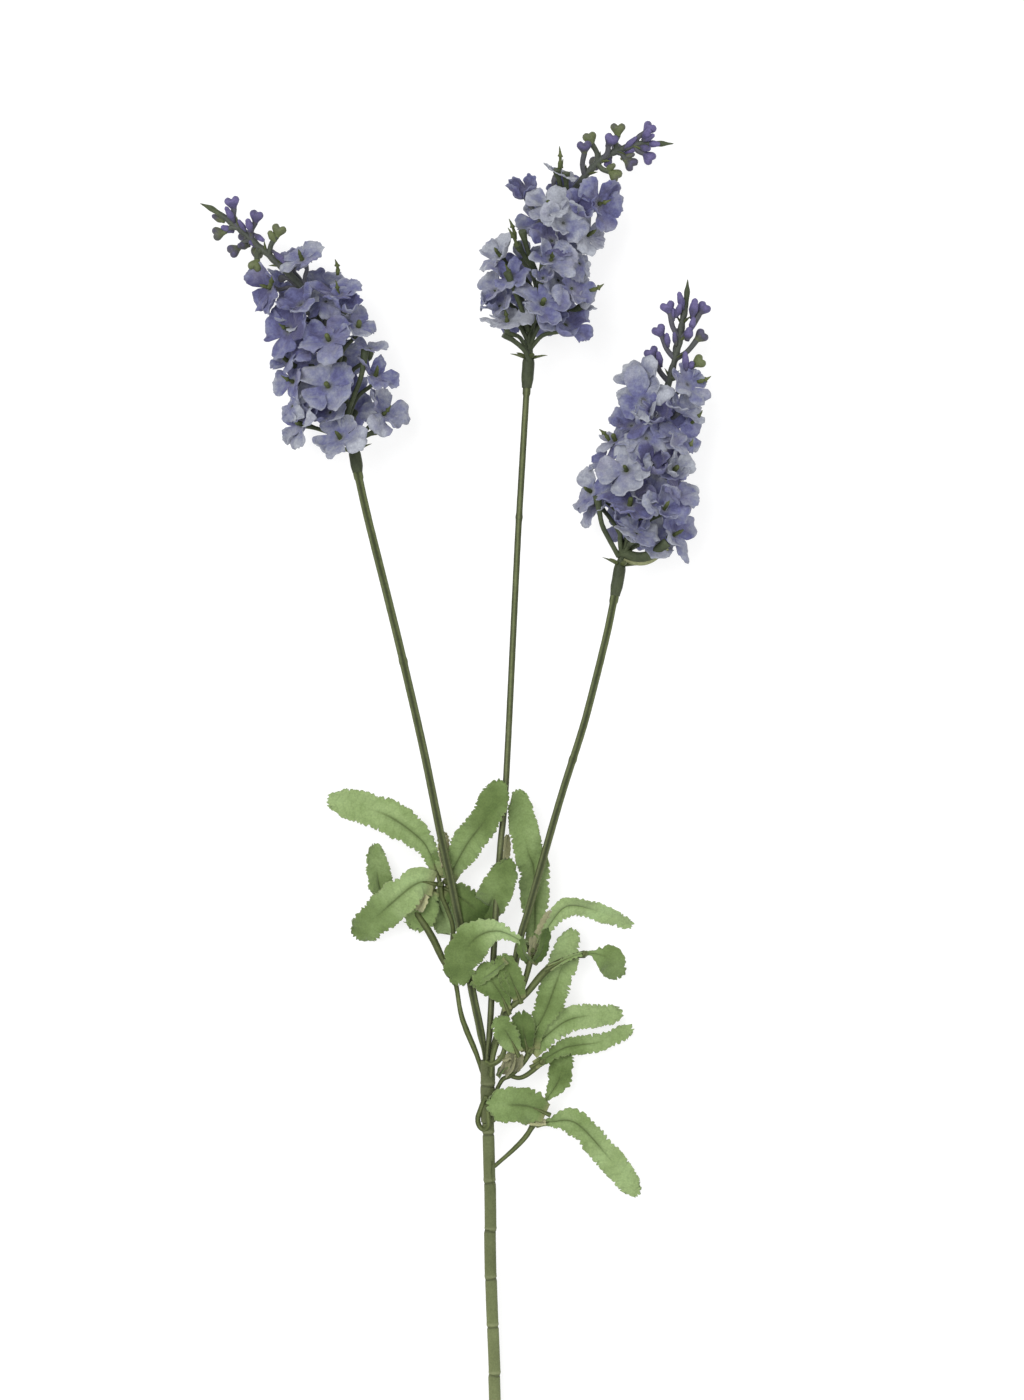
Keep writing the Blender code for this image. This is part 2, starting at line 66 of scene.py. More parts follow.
STEM_ROUTE = ((1.0, 0.0), (0.0, 60.0), (-1.5, 103.0), (-2.0, 140.0), (-2.6, 167.0), (-3.0, 189.0))
STEM_RISE = 10.8 / 188.0
SLEEVE_RADIUS = 2.15
SLEEVE_END = 165.0
JOINT_START = 11.8            # first moulded joint of the sleeve, and the distance between joints
JOINT_SPACING = 18.6
JOINT_NICK = 0.26             # depth of a joint, and height of the flared lip after it
JOINT_LIP = 0.1
SLEEVE_SKIN = 0.12            # how far the sleeve stands out past its solid
SEGMENT_SWAY = 0.14           # how far the segments between joints stand off the line
JUNCTION_RADIUS = 2.65
JUNCTION_END = 189.0
SLEEVE_GAP = 0.3              # between the stem's sleeve and the junction's
SLEEVE_CLEARANCE = 0.13       # least gap from the surface to the sleeve's underside

# Flower stems, from inside the junction up to the spikes.
STEM_ROUTES = {
    "left": ((-3.65, 168.0, 11.2), (-4.05, 189.0, 12.4), (-5.4, 199.0, 13.2), (-8.7, 215.0, 14.2),
             (-13.3, 240.0, 15.5), (-20.5, 274.0, 17.0), (-27.4, 308.0, 18.0), (-35.2, 342.0, 18.8),
             (-40.3, 363.0, 19.2), (-48.3, 395.0, 19.5), (-52.1, 412.0, 19.6)),
    "middle": ((-2.6, 168.0, 13.0), (-3.0, 189.0, 14.2), (-2.1, 199.0, 14.4), (-1.5, 210.0, 14.8),
               (0.0, 240.0, 16.6), (1.9, 269.0, 17.4), (4.2, 296.0, 17.9), (8.3, 380.0, 19.4),
               (9.8, 407.0, 19.6), (12.0, 444.0, 19.7)),
    "right": ((-1.6, 168.0, 11.2), (-1.95, 189.0, 12.4), (1.2, 199.0, 13.0), (4.9, 212.0, 13.8),
              (9.5, 235.0, 14.9), (13.3, 248.0, 15.5), (24.7, 288.0, 17.4), (32.3, 312.0, 18.2),
              (35.7, 324.0, 18.5), (42.2, 350.0, 19.2), (45.3, 365.2, 19.5)),
}

STEM_RADII = {"left": 1.5, "middle": 1.2, "right": 1.4}
TAIL_RADIUS = 0.65
SWELL_START = 22.0            # where a flower stem leaves the junction and swells to its radius
SWELL_LENGTH = 9.0
STEM_RING = 0.22              # swelling at its joint, and at the collar under the spike
STEM_COLLAR = 0.3

# Each flower stem's joint (distance along it), and where the painted highlight and painted shade lines lie
# round the stem.
STEM_JOINTS = {"left": (176.0, -0.47), "middle": (228.0, 0.08), "right": (140.0, 0.44)}

# Round the junction: the bound wire's loop, the strap over it, and a thread of glue.
BINDING_LOOP = ((-2.9, 173.5, 15.4), (-3.6, 174.6, 14.9), (-5.3, 170.2, 13.2), (-6.5, 166.4, 12.2),
                (-5.9, 163.4, 11.6), (-4.0, 162.2, 12.6), (-2.5, 164.1, 14.4), (-2.7, 167.9, 15.2),
                (-2.8, 172.0, 15.5))
BINDING_STRAP = ((-3.4, 188.0, 14.8), (-1.2, 187.4, 17.0), (1.8, 189.4, 17.8), (3.6, 193.0, 17.2),
                 (3.8, 196.8, 15.8))
GLUE_THREAD = ((-1.0, 150.2, 13.0), (-1.3, 145.0, 12.7), (-0.5, 141.0, 12.0), (-0.1, 137.6, 11.4))

# ------------------------------------------------------------------ the spikes

# Spikes' rachises, from the mouth of the socket to the spear's point.
RACHIS_ROUTES = {
    "left": ((-52.2, 412.45, 19.6), (-53.3, 419.5, 19.6), (-57.0, 440.0, 20.0), (-62.7, 459.0, 20.0),
             (-72.2, 480.7, 19.6), (-82.5, 491.7, 19.2), (-91.2, 499.7, 18.6), (-98.8, 506.5, 18.0),
             (-106.8, 512.2, 17.2), (-112.1, 514.9, 16.6)),
    "middle": ((12.0, 444.45, 19.7), (12.7, 455.0, 19.8), (13.2, 463.0, 20.0), (14.8, 472.3, 20.2),
               (17.5, 487.1, 20.2), (20.8, 501.0, 20.0), (28.1, 516.4, 19.5), (35.9, 527.0, 19.0),
               (42.2, 532.6, 18.6), (48.6, 535.6, 18.2), (55.5, 537.4, 17.6), (67.9, 537.6, 16.8)),
    "right": ((45.5, 365.65, 19.5), (46.5, 371.0, 19.6), (48.6, 381.0, 19.8), (55.1, 396.0, 20.0),
              (58.9, 417.2, 20.2), (63.8, 438.1, 20.0), (66.7, 449.5, 19.6), (69.5, 459.8, 19.2),
              (71.1, 469.3, 18.8), (72.6, 477.2, 18.4), (73.3, 485.8, 18.0)),
}

SOCKET_LENGTH = {"left": 8.0, "middle": 11.0, "right": 11.5}
SOCKET_RADIUS = 2.35
TIP_LENGTH = 11.0             # the bare spear at each rachis's end
RACHIS_RADIUS = 1.45
RACHIS_STEP = 0.6             # between its rings of points

# Whorls: distance along the rachis, ring radius, and the angle round the rachis (0 faces up, 90
# right when looking towards the tip) and tone (0 deep violet blue, 1 washed-out grey) of the
# florets behind it. The florets in front are in FRONT_FLORETS.
WHORLS = {
    "left": ((17.5, 13.0, ((168, 0.4), (-158, 0.5))), (31.0, 15.0, ((172, 0.4), (-150, 0.5))),
             (44.5, 16.2, ((165, 0.5), (-148, 0.4))), (58.0, 15.0, ((145, 0.4), (-140, 0.5))),
             (71.0, 13.0, ((135, 0.4), (-140, 0.3))), (83.0, 10.5, ((140, 0.4), (-150, 0.5)))),
    "middle": ((21.0, 13.5, ((168, 0.4), (-150, 0.5))), (35.0, 15.5, ((150, 0.4), (-150, 0.5))),
               (49.0, 16.3, ((140, 0.5), (-145, 0.4))), (63.0, 14.5, ((135, 0.5), (-150, 0.5))),
               (78.0, 12.5, ((140, 0.3), (-150, 0.4)))),
    "right": ((20.2, 15.2, ((160, 0.4), (-168, 0.5))), (34.0, 16.1, ((150, 0.5), (-152, 0.4))),
              (47.0, 15.2, ((140, 0.5), (-145, 0.4))), (60.0, 14.0, ((145, 0.4), (-140, 0.5))),
              (73.0, 11.5, ((135, 0.5), (-145, 0.5)))),
}

WHORL_TILT = math.radians(35)
BRANCH_DROP = 13.0
BRANCH_RADIUS = 0.8
CUP_RADIUS = 1.5
CUP_START = 0.72              # share of a branch at which it starts to flare
CUP_SET = 0.55                # how far the cup's rim sits behind the fabric
NECK_SET = 4.6                # and where the branch straightens towards it

# Florets on the inner ring, lower than the outer ones: gap between whorls (counted from the
# socket) and angle round the rachis.
INNER_FLORETS = {
    "left": ((0, -46), (1, -52), (2, -30), (3, -38), (3, 40)),
    "middle": ((0, 34), (1, 44), (2, 8), (2, 58), (3, 30)),
    "right": ((0, -12), (0, 44), (1, -46), (1, 14), (2, -30), (2, 40), (3, -36), (3, 22)),
}

INNER_RING = 0.64             # radius of the inner florets' ring, as a part of the whorl's
BACK_RING = 0.86              # the same for the florets behind
INNER_SIZE = 0.8              # size of the inner florets, and of those behind
BACK_SIZE = 0.76
FIRST_ROW_SHIFT = 6.0         # how far up the first whorl's hidden florets sit
FLORET_SPREAD = 1.06          # how much wider the spread florets are than their cut forms
FACE_LEAN = 0.62              # front florets face up more than out, by this part of their angle
CAMERA_AT = Vector((6.5, 326.0, 1496.0))      # in the tables' millimetres
SIGHT_LEVEL = 20.0            # the front florets' places are given as seen on this level

# Florets in front: x, y (on the sight level), form, turn about the pin in degrees, size, tone and
# tilt towards the tip in degrees. Those behind follow from WHORLS.
FRONT_FLORETS = {
    "left": ((-73.2, 493.2, 6, 200, 0.72, 0.5, 48), (-59.6, 480.4, 8, 0, 0.85, 0.28, 45),
             (-57.0, 475.1, 5, 40, 0.75, 0.32, 30), (-85.5, 482.5, 10, 225, 0.85, 0.1, 40),
             (-73.9, 476.4, 1, 350, 0.85, 0.27, 50), (-51.8, 467.8, 2, 20, 0.7, 0.68, 35),
             (-47.4, 459.6, 8, 340, 0.66, 0.6, 50), (-78.5, 466.6, 0, 190, 1.0, 0.08, 25),
             (-63.2, 462.9, 3, 300, 0.95, 0.4, 35), (-78.9, 454.9, 1, 180, 0.7, 0.5, 45),
             (-76.8, 446.9, 2, 200, 0.8, 0.5, 25), (-63.4, 445.1, 6, 95, 0.9, 0.5, 30),
             (-45.2, 449.4, 10, 10, 0.8, 0.35, 40), (-42.0, 434.7, 4, 30, 0.92, 0.55, 20),
             (-73.4, 430.8, 11, 40, 0.88, 0.7, 20), (-58.9, 425.8, 3, 350, 0.92, 0.74, 35),
             (-77.2, 437.6, 9, 150, 0.6, 0.55, 25), (-70.5, 437.7, 0, 45, 0.75, 0.3, 30)),
    "middle": ((11.8, 517.6, 7, 200, 0.95, 0.12, 30), (24.2, 526.0, 6, 0, 0.52, 0.8, 72),
               (20.3, 513.6, 0, 60, 0.8, 0.85, 30), (26.1, 507.3, 1, 280, 0.82, 0.8, 20),
               (39.8, 514.4, 4, 330, 0.95, 0.18, 25), (31.2, 512.2, 5, 80, 0.7, 0.15, 35),
               (35.4, 502.6, 3, 350, 0.75, 0.95, 30), (21.4, 493.2, 10, 60, 0.85, 0.6, 30),
               (32.3, 491.9, 9, 0, 0.65, 0.6, 30), (1.8, 494.8, 1, 110, 0.8, 0.9, 30),
               (5.9, 487.0, 10, 320, 0.75, 0.4, 40), (-0.3, 481.5, 2, 170, 0.8, 0.65, 30),
               (1.6, 475.9, 5, 200, 0.75, 0.6, 30), (4.6, 469.9, 6, 0, 0.78, 0.92, 62),
               (18.1, 476.6, 3, 200, 0.95, 0.56, 35), (29.4, 482.3, 4, 20, 0.82, 0.4, 20),
               (33.2, 475.9, 7, 300, 0.55, 0.95, 30), (26.9, 469.0, 11, 180, 0.9, 0.2, 45),
               (18.4, 486.3, 7, 100, 0.6, 0.55, 20)),
    "right": ((55.4, 445.2, 3, 100, 1.0, 0.72, 0), (56.2, 439.6, 8, 230, 0.92, 0.66, 5),
              (73.4, 446.0, 3, 30, 0.78, 0.6, 35), (61.4, 434.2, 5, 0, 0.75, 0.08, 30),
              (51.7, 430.5, 1, 200, 0.75, 0.2, 35), (70.3, 436.7, 10, 80, 0.8, 0.6, 45),
              (57.5, 425.6, 9, 140, 0.85, 0.5, 25), (71.2, 425.6, 2, 20, 0.78, 0.66, 30),
              (45.6, 424.6, 8, 120, 0.62, 0.6, 45), (49.9, 413.4, 0, 60, 1.0, 0.8, 25),
              (59.3, 415.2, 7, 45, 1.0, 0.0, 20), (68.2, 413.4, 5, 0, 0.72, 0.84, 25),
              (36.2, 405.2, 2, 130, 0.78, 0.78, 10), (38.0, 400.4, 3, 230, 0.78, 0.62, 10),
              (51.3, 400.5, 3, 200, 1.02, 0.16, 50), (64.4, 398.8, 1, 300, 0.85, 0.5, 35),
              (69.6, 404.8, 8, 350, 0.8, 0.4, 35), (54.0, 389.6, 6, 45, 0.72, 0.55, 58),
              (68.2, 388.8, 8, 280, 0.85, 0.5, 35), (41.2, 416.0, 8, 170, 0.6, 0.45, 30)),
}

# Front florets, by number, whose pins are hidden under a folded petal.
HIDDEN_PINS = {
    "left": (2, 4, 6, 16, 17),
    "middle": (0, 3, 5, 8, 11, 12, 15, 16, 17, 18),
    "right": (0, 1, 2, 3, 4, 5, 6, 7, 10, 13, 16, 17, 19),
}

# Routes of the branches that show between the florets, from the rachis outwards.
EXTRA_BRANCHES = {
    "left": (((-55.0, 428.0, 20.0), (-55.9, 433.9, 25.0), (-50.5, 448.0, 28.5), (-49.0, 458.2, 28.0)),
             ((-54.5, 421.5, 20.5), (-51.3, 424.8, 23.5), (-44.1, 428.2, 24.0))),
    "middle": (((17.1, 486.0, 21.0), (12.0, 492.5, 27.0), (8.4, 497.4, 33.5)),
               ((15.4, 488.8, 22.0), (12.6, 495.0, 28.5), (10.3, 502.3, 34.0)),
               ((12.6, 466.0, 21.0), (9.9, 474.2, 28.0), (4.6, 486.7, 35.0)),
               ((26.6, 513.0, 20.0), (24.8, 520.0, 26.0), (23.2, 526.0, 30.0)),
               ((27.6, 514.0, 20.5), (27.0, 520.5, 26.5), (26.8, 525.0, 29.0)),
               ((13.4, 454.0, 21.0), (10.6, 459.0, 24.5), (3.4, 464.3, 27.0))),
    "right": (((48.0, 382.5, 20.5), (53.0, 380.3, 25.0), (58.6, 380.8, 28.0), (65.0, 385.6, 29.5)),
              ((46.9, 380.5, 20.5), (43.2, 386.8, 25.5), (40.4, 392.2, 28.5), (39.2, 398.5, 30.5),
               (38.4, 403.0, 31.5)),
              ((48.0, 381.0, 21.0), (48.0, 391.0, 26.0), (56.8, 396.0, 30.0))),
}

EXTRA_RADIUS = 0.95           # of these, but for the bent one at the right spike's foot
BENT_RADIUS = 1.9

# Bare pins that stand clear of the florets: foot, direction and length as a part of the usual.
EXTRA_PINS = {
    "left": ((-84.3, 482.0, 34.0, 0.3, 0.5, 0.7, 0.8), (-59.0, 487.5, 33.0, 0.0, 0.8, 0.5, 0.8)),
    "middle": ((8.4, 497.2, 33.6, -0.36, 0.9, 0.3, 1.2), (24.6, 528.0, 30.0, 0.1, 0.95, 0.3, 1.1),
               (7.5, 501.5, 32.0, -0.2, 0.9, 0.3, 1.0), (37.4, 480.6, 31.0, 0.8, 0.2, 0.5, 0.8)),
    "right": ((78.0, 446.5, 26.0, 0.9, 0.2, 0.3, 0.7), (75.5, 431.5, 28.0, 0.7, 0.6, 0.3, 0.8),
              (73.0, 421.0, 27.0, 0.6, 0.7, 0.3, 0.7), (42.4, 425.2, 30.0, -0.5, 0.7, 0.4, 0.75)),
}

# Buds: where the stalk leaves the rachis, the bud's outer end, and its tint
# (0 violet, 0.5 dark brown green, 1 bright green).
BUDS = {
    "left": ((107, (-99.9, 515.8, 20.0), 0.0), (107, (-106.0, 503.1, 18.0), 0.55),
             (100, (-90.3, 510.3, 21.5), 0.1), (100, (-99.9, 496.2, 19.5), 0.45),
             (91, (-81.7, 505.0, 21.0), 0.8), (95, (-91.0, 489.8, 23.5), 0.9),
             (100, (-95.5, 503.5, 10.5), 0.3), (95, (-91.0, 497.0, 10.0), 0.5)),
    "middle": ((101, (46.7, 543.7, 20.0), 0.75), (92, (35.8, 540.3, 19.0), 0.8),
               (108, (59.2, 544.0, 18.5), 0.0), (108, (59.2, 531.5, 18.5), 0.05),
               (100, (52.2, 529.0, 20.0), 0.45), (92, (46.3, 524.6, 21.0), 0.85),
               (101, (47.0, 536.5, 10.0), 0.3), (93, (38.0, 531.0, 9.5), 0.4),
               (85, (33.8, 536.4, 23.5), 0.25), (94, (44.4, 539.0, 23.0), 0.1)),
    "right": ((101, (65.3, 476.0, 19.5), 0.0), (101, (79.8, 475.5, 19.0), 0.1),
              (93, (61.9, 467.0, 19.5), 0.0), (93, (79.0, 464.8, 19.5), 0.4),
              (84, (59.0, 458.5, 20.5), 0.1), (85, (78.2, 454.8, 21.0), 1.0),
              (94, (71.0, 466.0, 10.5), 0.4)),
}

# Slender buds that have not opened out: foot, tip, girth as a part of the usual, and tint.
SLENDER_BUDS = {
    "left": (((-99.4, 508.2, 20.0), (-102.2, 513.2, 23.0), 1.05, 0.0),
             ((-94.8, 504.4, 20.5), (-97.4, 508.2, 22.0), 0.85, 0.05),
             ((-92.6, 504.2, 21.5), (-93.8, 508.6, 23.0), 1.2, 0.0),
             ((-91.0, 502.6, 19.5), (-87.0, 499.6, 22.0), 0.95, 0.05),
             ((-83.6, 500.4, 20.5), (-85.8, 504.0, 21.5), 1.2, 0.9),
             ((-103.6, 508.4, 15.0), (-107.6, 510.6, 13.5), 1.1, 0.45),
             ((-100.0, 504.4, 17.0), (-104.4, 505.8, 19.0), 1.2, 0.0),
             ((-94.0, 498.8, 17.5), (-98.2, 498.0, 21.0), 1.25, 0.4),
             ((-90.0, 498.8, 17.0), (-93.8, 500.2, 19.5), 1.0, 0.1),
             ((-83.6, 495.8, 20.5), (-79.0, 491.2, 23.0), 0.95, 0.05)),
    "middle": (((56.6, 539.2, 19.0), (59.2, 542.8, 22.0), 1.3, 0.0),
               ((49.6, 536.0, 19.0), (54.0, 539.8, 19.5), 0.95, 0.05),
               ((56.8, 538.6, 19.0), (60.8, 540.6, 20.0), 1.05, 0.1),
               ((58.2, 537.6, 17.5), (63.0, 537.0, 18.5), 1.15, 0.0),
               ((49.4, 533.8, 16.5), (54.0, 535.8, 17.5), 1.05, 0.05),
               ((55.0, 536.0, 18.5), (59.6, 534.6, 21.5), 1.15, 0.15),
               ((48.6, 531.8, 18.5), (53.4, 533.2, 20.0), 0.95, 0.6),
               ((43.8, 532.2, 16.0), (41.8, 528.2, 18.0), 1.25, 0.05),
               ((42.4, 527.0, 20.0), (46.0, 529.2, 22.0), 1.1, 0.75)),
    "right": (((71.2, 475.2, 20.0), (69.6, 481.0, 22.0), 1.15, 0.0),
              ((75.0, 471.8, 20.0), (76.0, 478.6, 22.5), 1.45, 0.0),
              ((69.0, 471.8, 20.5), (70.4, 476.4, 22.0), 1.1, 0.0),
              ((67.8, 470.6, 19.5), (67.8, 474.8, 19.5), 0.9, 0.1),
              ((74.4, 466.4, 22.5), (75.4, 471.2, 23.0), 1.05, 0.0),
              ((73.0, 463.0, 21.5), (74.0, 467.6, 23.5), 1.5, 0.05),
              ((65.7, 460.6, 20.5), (65.0, 465.4, 22.0), 1.0, 0.0),
              ((68.6, 461.0, 21.0), (67.8, 465.6, 22.5), 0.85, 0.2),
              ((62.9, 453.2, 20.5), (61.7, 458.4, 22.5), 1.1, 0.0),
              ((72.4, 451.6, 22.5), (72.0, 458.2, 24.0), 1.15, 0.0),
              ((73.6, 451.4, 21.5), (75.2, 454.6, 23.0), 1.1, 0.1)),
}

SLENDER_LENGTH = 5.3          # a closed bud, before it is sized
BUD_SEAT = 3.4                # how far a heart-shaped bud reaches past its stalk
STALK_RADIUS = 1.12
STALK_BOW = 0.9               # how far a stalk bends sideways

# ------------------------------------------------------------------ the cut forms of the florets

# Petals, reach, depth of the slits between them, ruffle, and each petal's rise at its base,
# curl towards its tip, twist and length.
FLORET_FORMS = (
    (4, 11.0, 0.44, 0.8, ((10, 10, 8, 1.0), (22, -25, -10, 0.92), (5, 20, 6, 1.08), (18, -10, -4, 1.0))),
    (4, 11.2, 0.4, 0.9, ((35, 15, 10, 1.0), (28, -10, -8, 1.08), (40, 10, 0, 0.9), (20, -35, 10, 1.0))),
    (4, 11.4, 0.4, 0.9, ((-20, -25, 12, 1.0), (15, 10, -8, 1.05), (-10, -35, 8, 0.92), (25, 20, 0, 1.08))),
    (5, 10.8, 0.44, 1.0, ((12, 15, 8, 1.0), (25, -20, -8, 1.05), (5, -25, 4, 1.08), (30, 15, 10, 0.9),
                          (10, 10, -10, 1.0))),
    (5, 11.0, 0.44, 1.1, ((38, 10, 10, 1.0), (12, -40, 4, 1.1), (45, 25, -10, 0.86), (20, -10, 8, 1.05),
                          (5, 15, -6, 1.0))),
    (4, 10.6, 0.4, 0.8, ((62, 20, 10, 1.0), (50, 15, -10, 1.08), (66, 10, 8, 0.95), (35, -25, 0, 1.05))),
    (4, 12.6, 0.34, 0.9, ((6, 12, 6, 1.0), (14, -12, -6, 0.92), (10, -20, 8, 1.02), (4, 14, -4, 0.88))),
    (4, 9.8, 0.4, 0.8, ((72, 20, 12, 0.95), (64, 30, -10, 1.02), (76, 15, 8, 1.08), (60, -10, 0, 1.0))),
    (4, 11.0, 0.32, 0.8, ((18, -20, 10, 1.3), (30, 10, -8, 0.86), (22, 15, 6, 0.95), (12, -30, 0, 1.12))),
    (5, 11.0, 0.44, 1.0, ((-30, -25, 8, 1.0), (-22, -20, -8, 1.08), (-35, -15, 4, 1.0), (-18, -30, 8, 0.92),
                          (-28, 10, -4, 1.0))),
    (4, 11.4, 0.38, 1.0, ((55, -30, 14, 1.12), (15, -25, -10, 1.0), (8, 25, 8, 1.0), (48, 25, 0, 0.86))),
    (5, 11.4, 0.44, 1.2, ((20, -35, 12, 1.0), (42, -30, -12, 1.12), (10, 20, 4, 0.86), (34, -15, 10, 1.08),
                          (16, 30, -8, 0.92))),
)

THROAT = 0.75
PETAL_COLUMNS = 24
PETAL_ROWS = 8
BEND_STEPS = 48
PETAL_OVERLAP = 0.16          # how far a petal's outer part spreads past its share of the ring
PETAL_SHEET = 0.24

FLAT_SHARE = 0.3              # part of a petal's reach that stays flat round the pin
PETAL_SWAY = 0.2              # how far, in radians, its middle swings out of an even ring
CUP, CUP_RANGE = 0.035, 0.09  # rise of its sides with the square of their distance, and its variety
FOLD_RANGE = 0.9              # rise of its sides with their distance
NOTCH_DEPTH = 0.56            # of its frayed rim
CRUMPLE, FRILL, FINE = 2.9, 1.1, 0.5      # lifts by the large, the rim's and the fine unevenness
THROAT_DIP = 0.9              # how far the cloth is pressed down round the pin
MIDLINE_DIP = 0.25            # depth of the crease along its middle

# ------------------------------------------------------------------ twigs and leaves

# Routes of the leaf twigs, from the stem outwards; a twig forks where it has two.
TWIGS = {
    "left": (((-5.0, 184.5, 11.6), (-7.2, 191.1, 12.0), (-12.5, 204.4, 12.4), (-14.6, 215.8, 12.4),
              (-16.2, 224.9, 12.3), (-16.2, 233.0, 12.1), (-16.2, 240.0, 12.0), (-18.2, 246.0, 12.0),
              (-20.2, 251.0, 12.0), (-20.9, 255.6, 12.2)),
             ((-15.8, 222.0, 12.3), (-19.6, 226.4, 12.0), (-24.4, 236.0, 11.0), (-31.4, 246.8, 9.6))),
    "centre": (((-1.5, 184.0, 16.4), (-0.5, 192.0, 16.9), (1.9, 199.0, 17.2), (4.9, 207.0, 17.2),
                (10.0, 215.5, 16.4), (13.0, 225.0, 15.2), (14.1, 230.5, 14.6)),
               ((7.5, 210.5, 16.9), (12.0, 214.5, 16.6), (19.8, 223.4, 15.6), (29.0, 228.0, 14.2),
                (34.2, 229.2, 13.5))),
    "right": (((0.95, 178.0, 12.5), (3.0, 181.4, 12.6), (6.1, 183.0, 12.5), (10.6, 187.6, 12.4),
               (13.3, 191.9, 12.4)),
              ((5.5, 182.8, 12.5), (9.4, 181.8, 11.4), (13.2, 183.6, 10.8), (17.9, 187.7, 10.4))),
    "lower": (((0.75, 148.8, 10.7), (6.6, 153.9, 10.1), (11.5, 158.9, 9.6), (14.6, 163.7, 9.2)),),
}

# Radius of each route of a twig.
TWIG_RADII = {"left": (1.0, 1.3), "centre": (1.05, 1.3), "right": (0.95, 0.95), "lower": (0.9,)}

# Which twig carries the leaves whose names start so.
LEAF_TWIGS = {"leaf_left": "left", "leaf_middle": "left", "leaf_centre": "centre", "leaf_fold": "centre",
              "leaf_on": "centre", "leaf_right": "right", "leaf_small": "right", "leaf_low": "lower"}
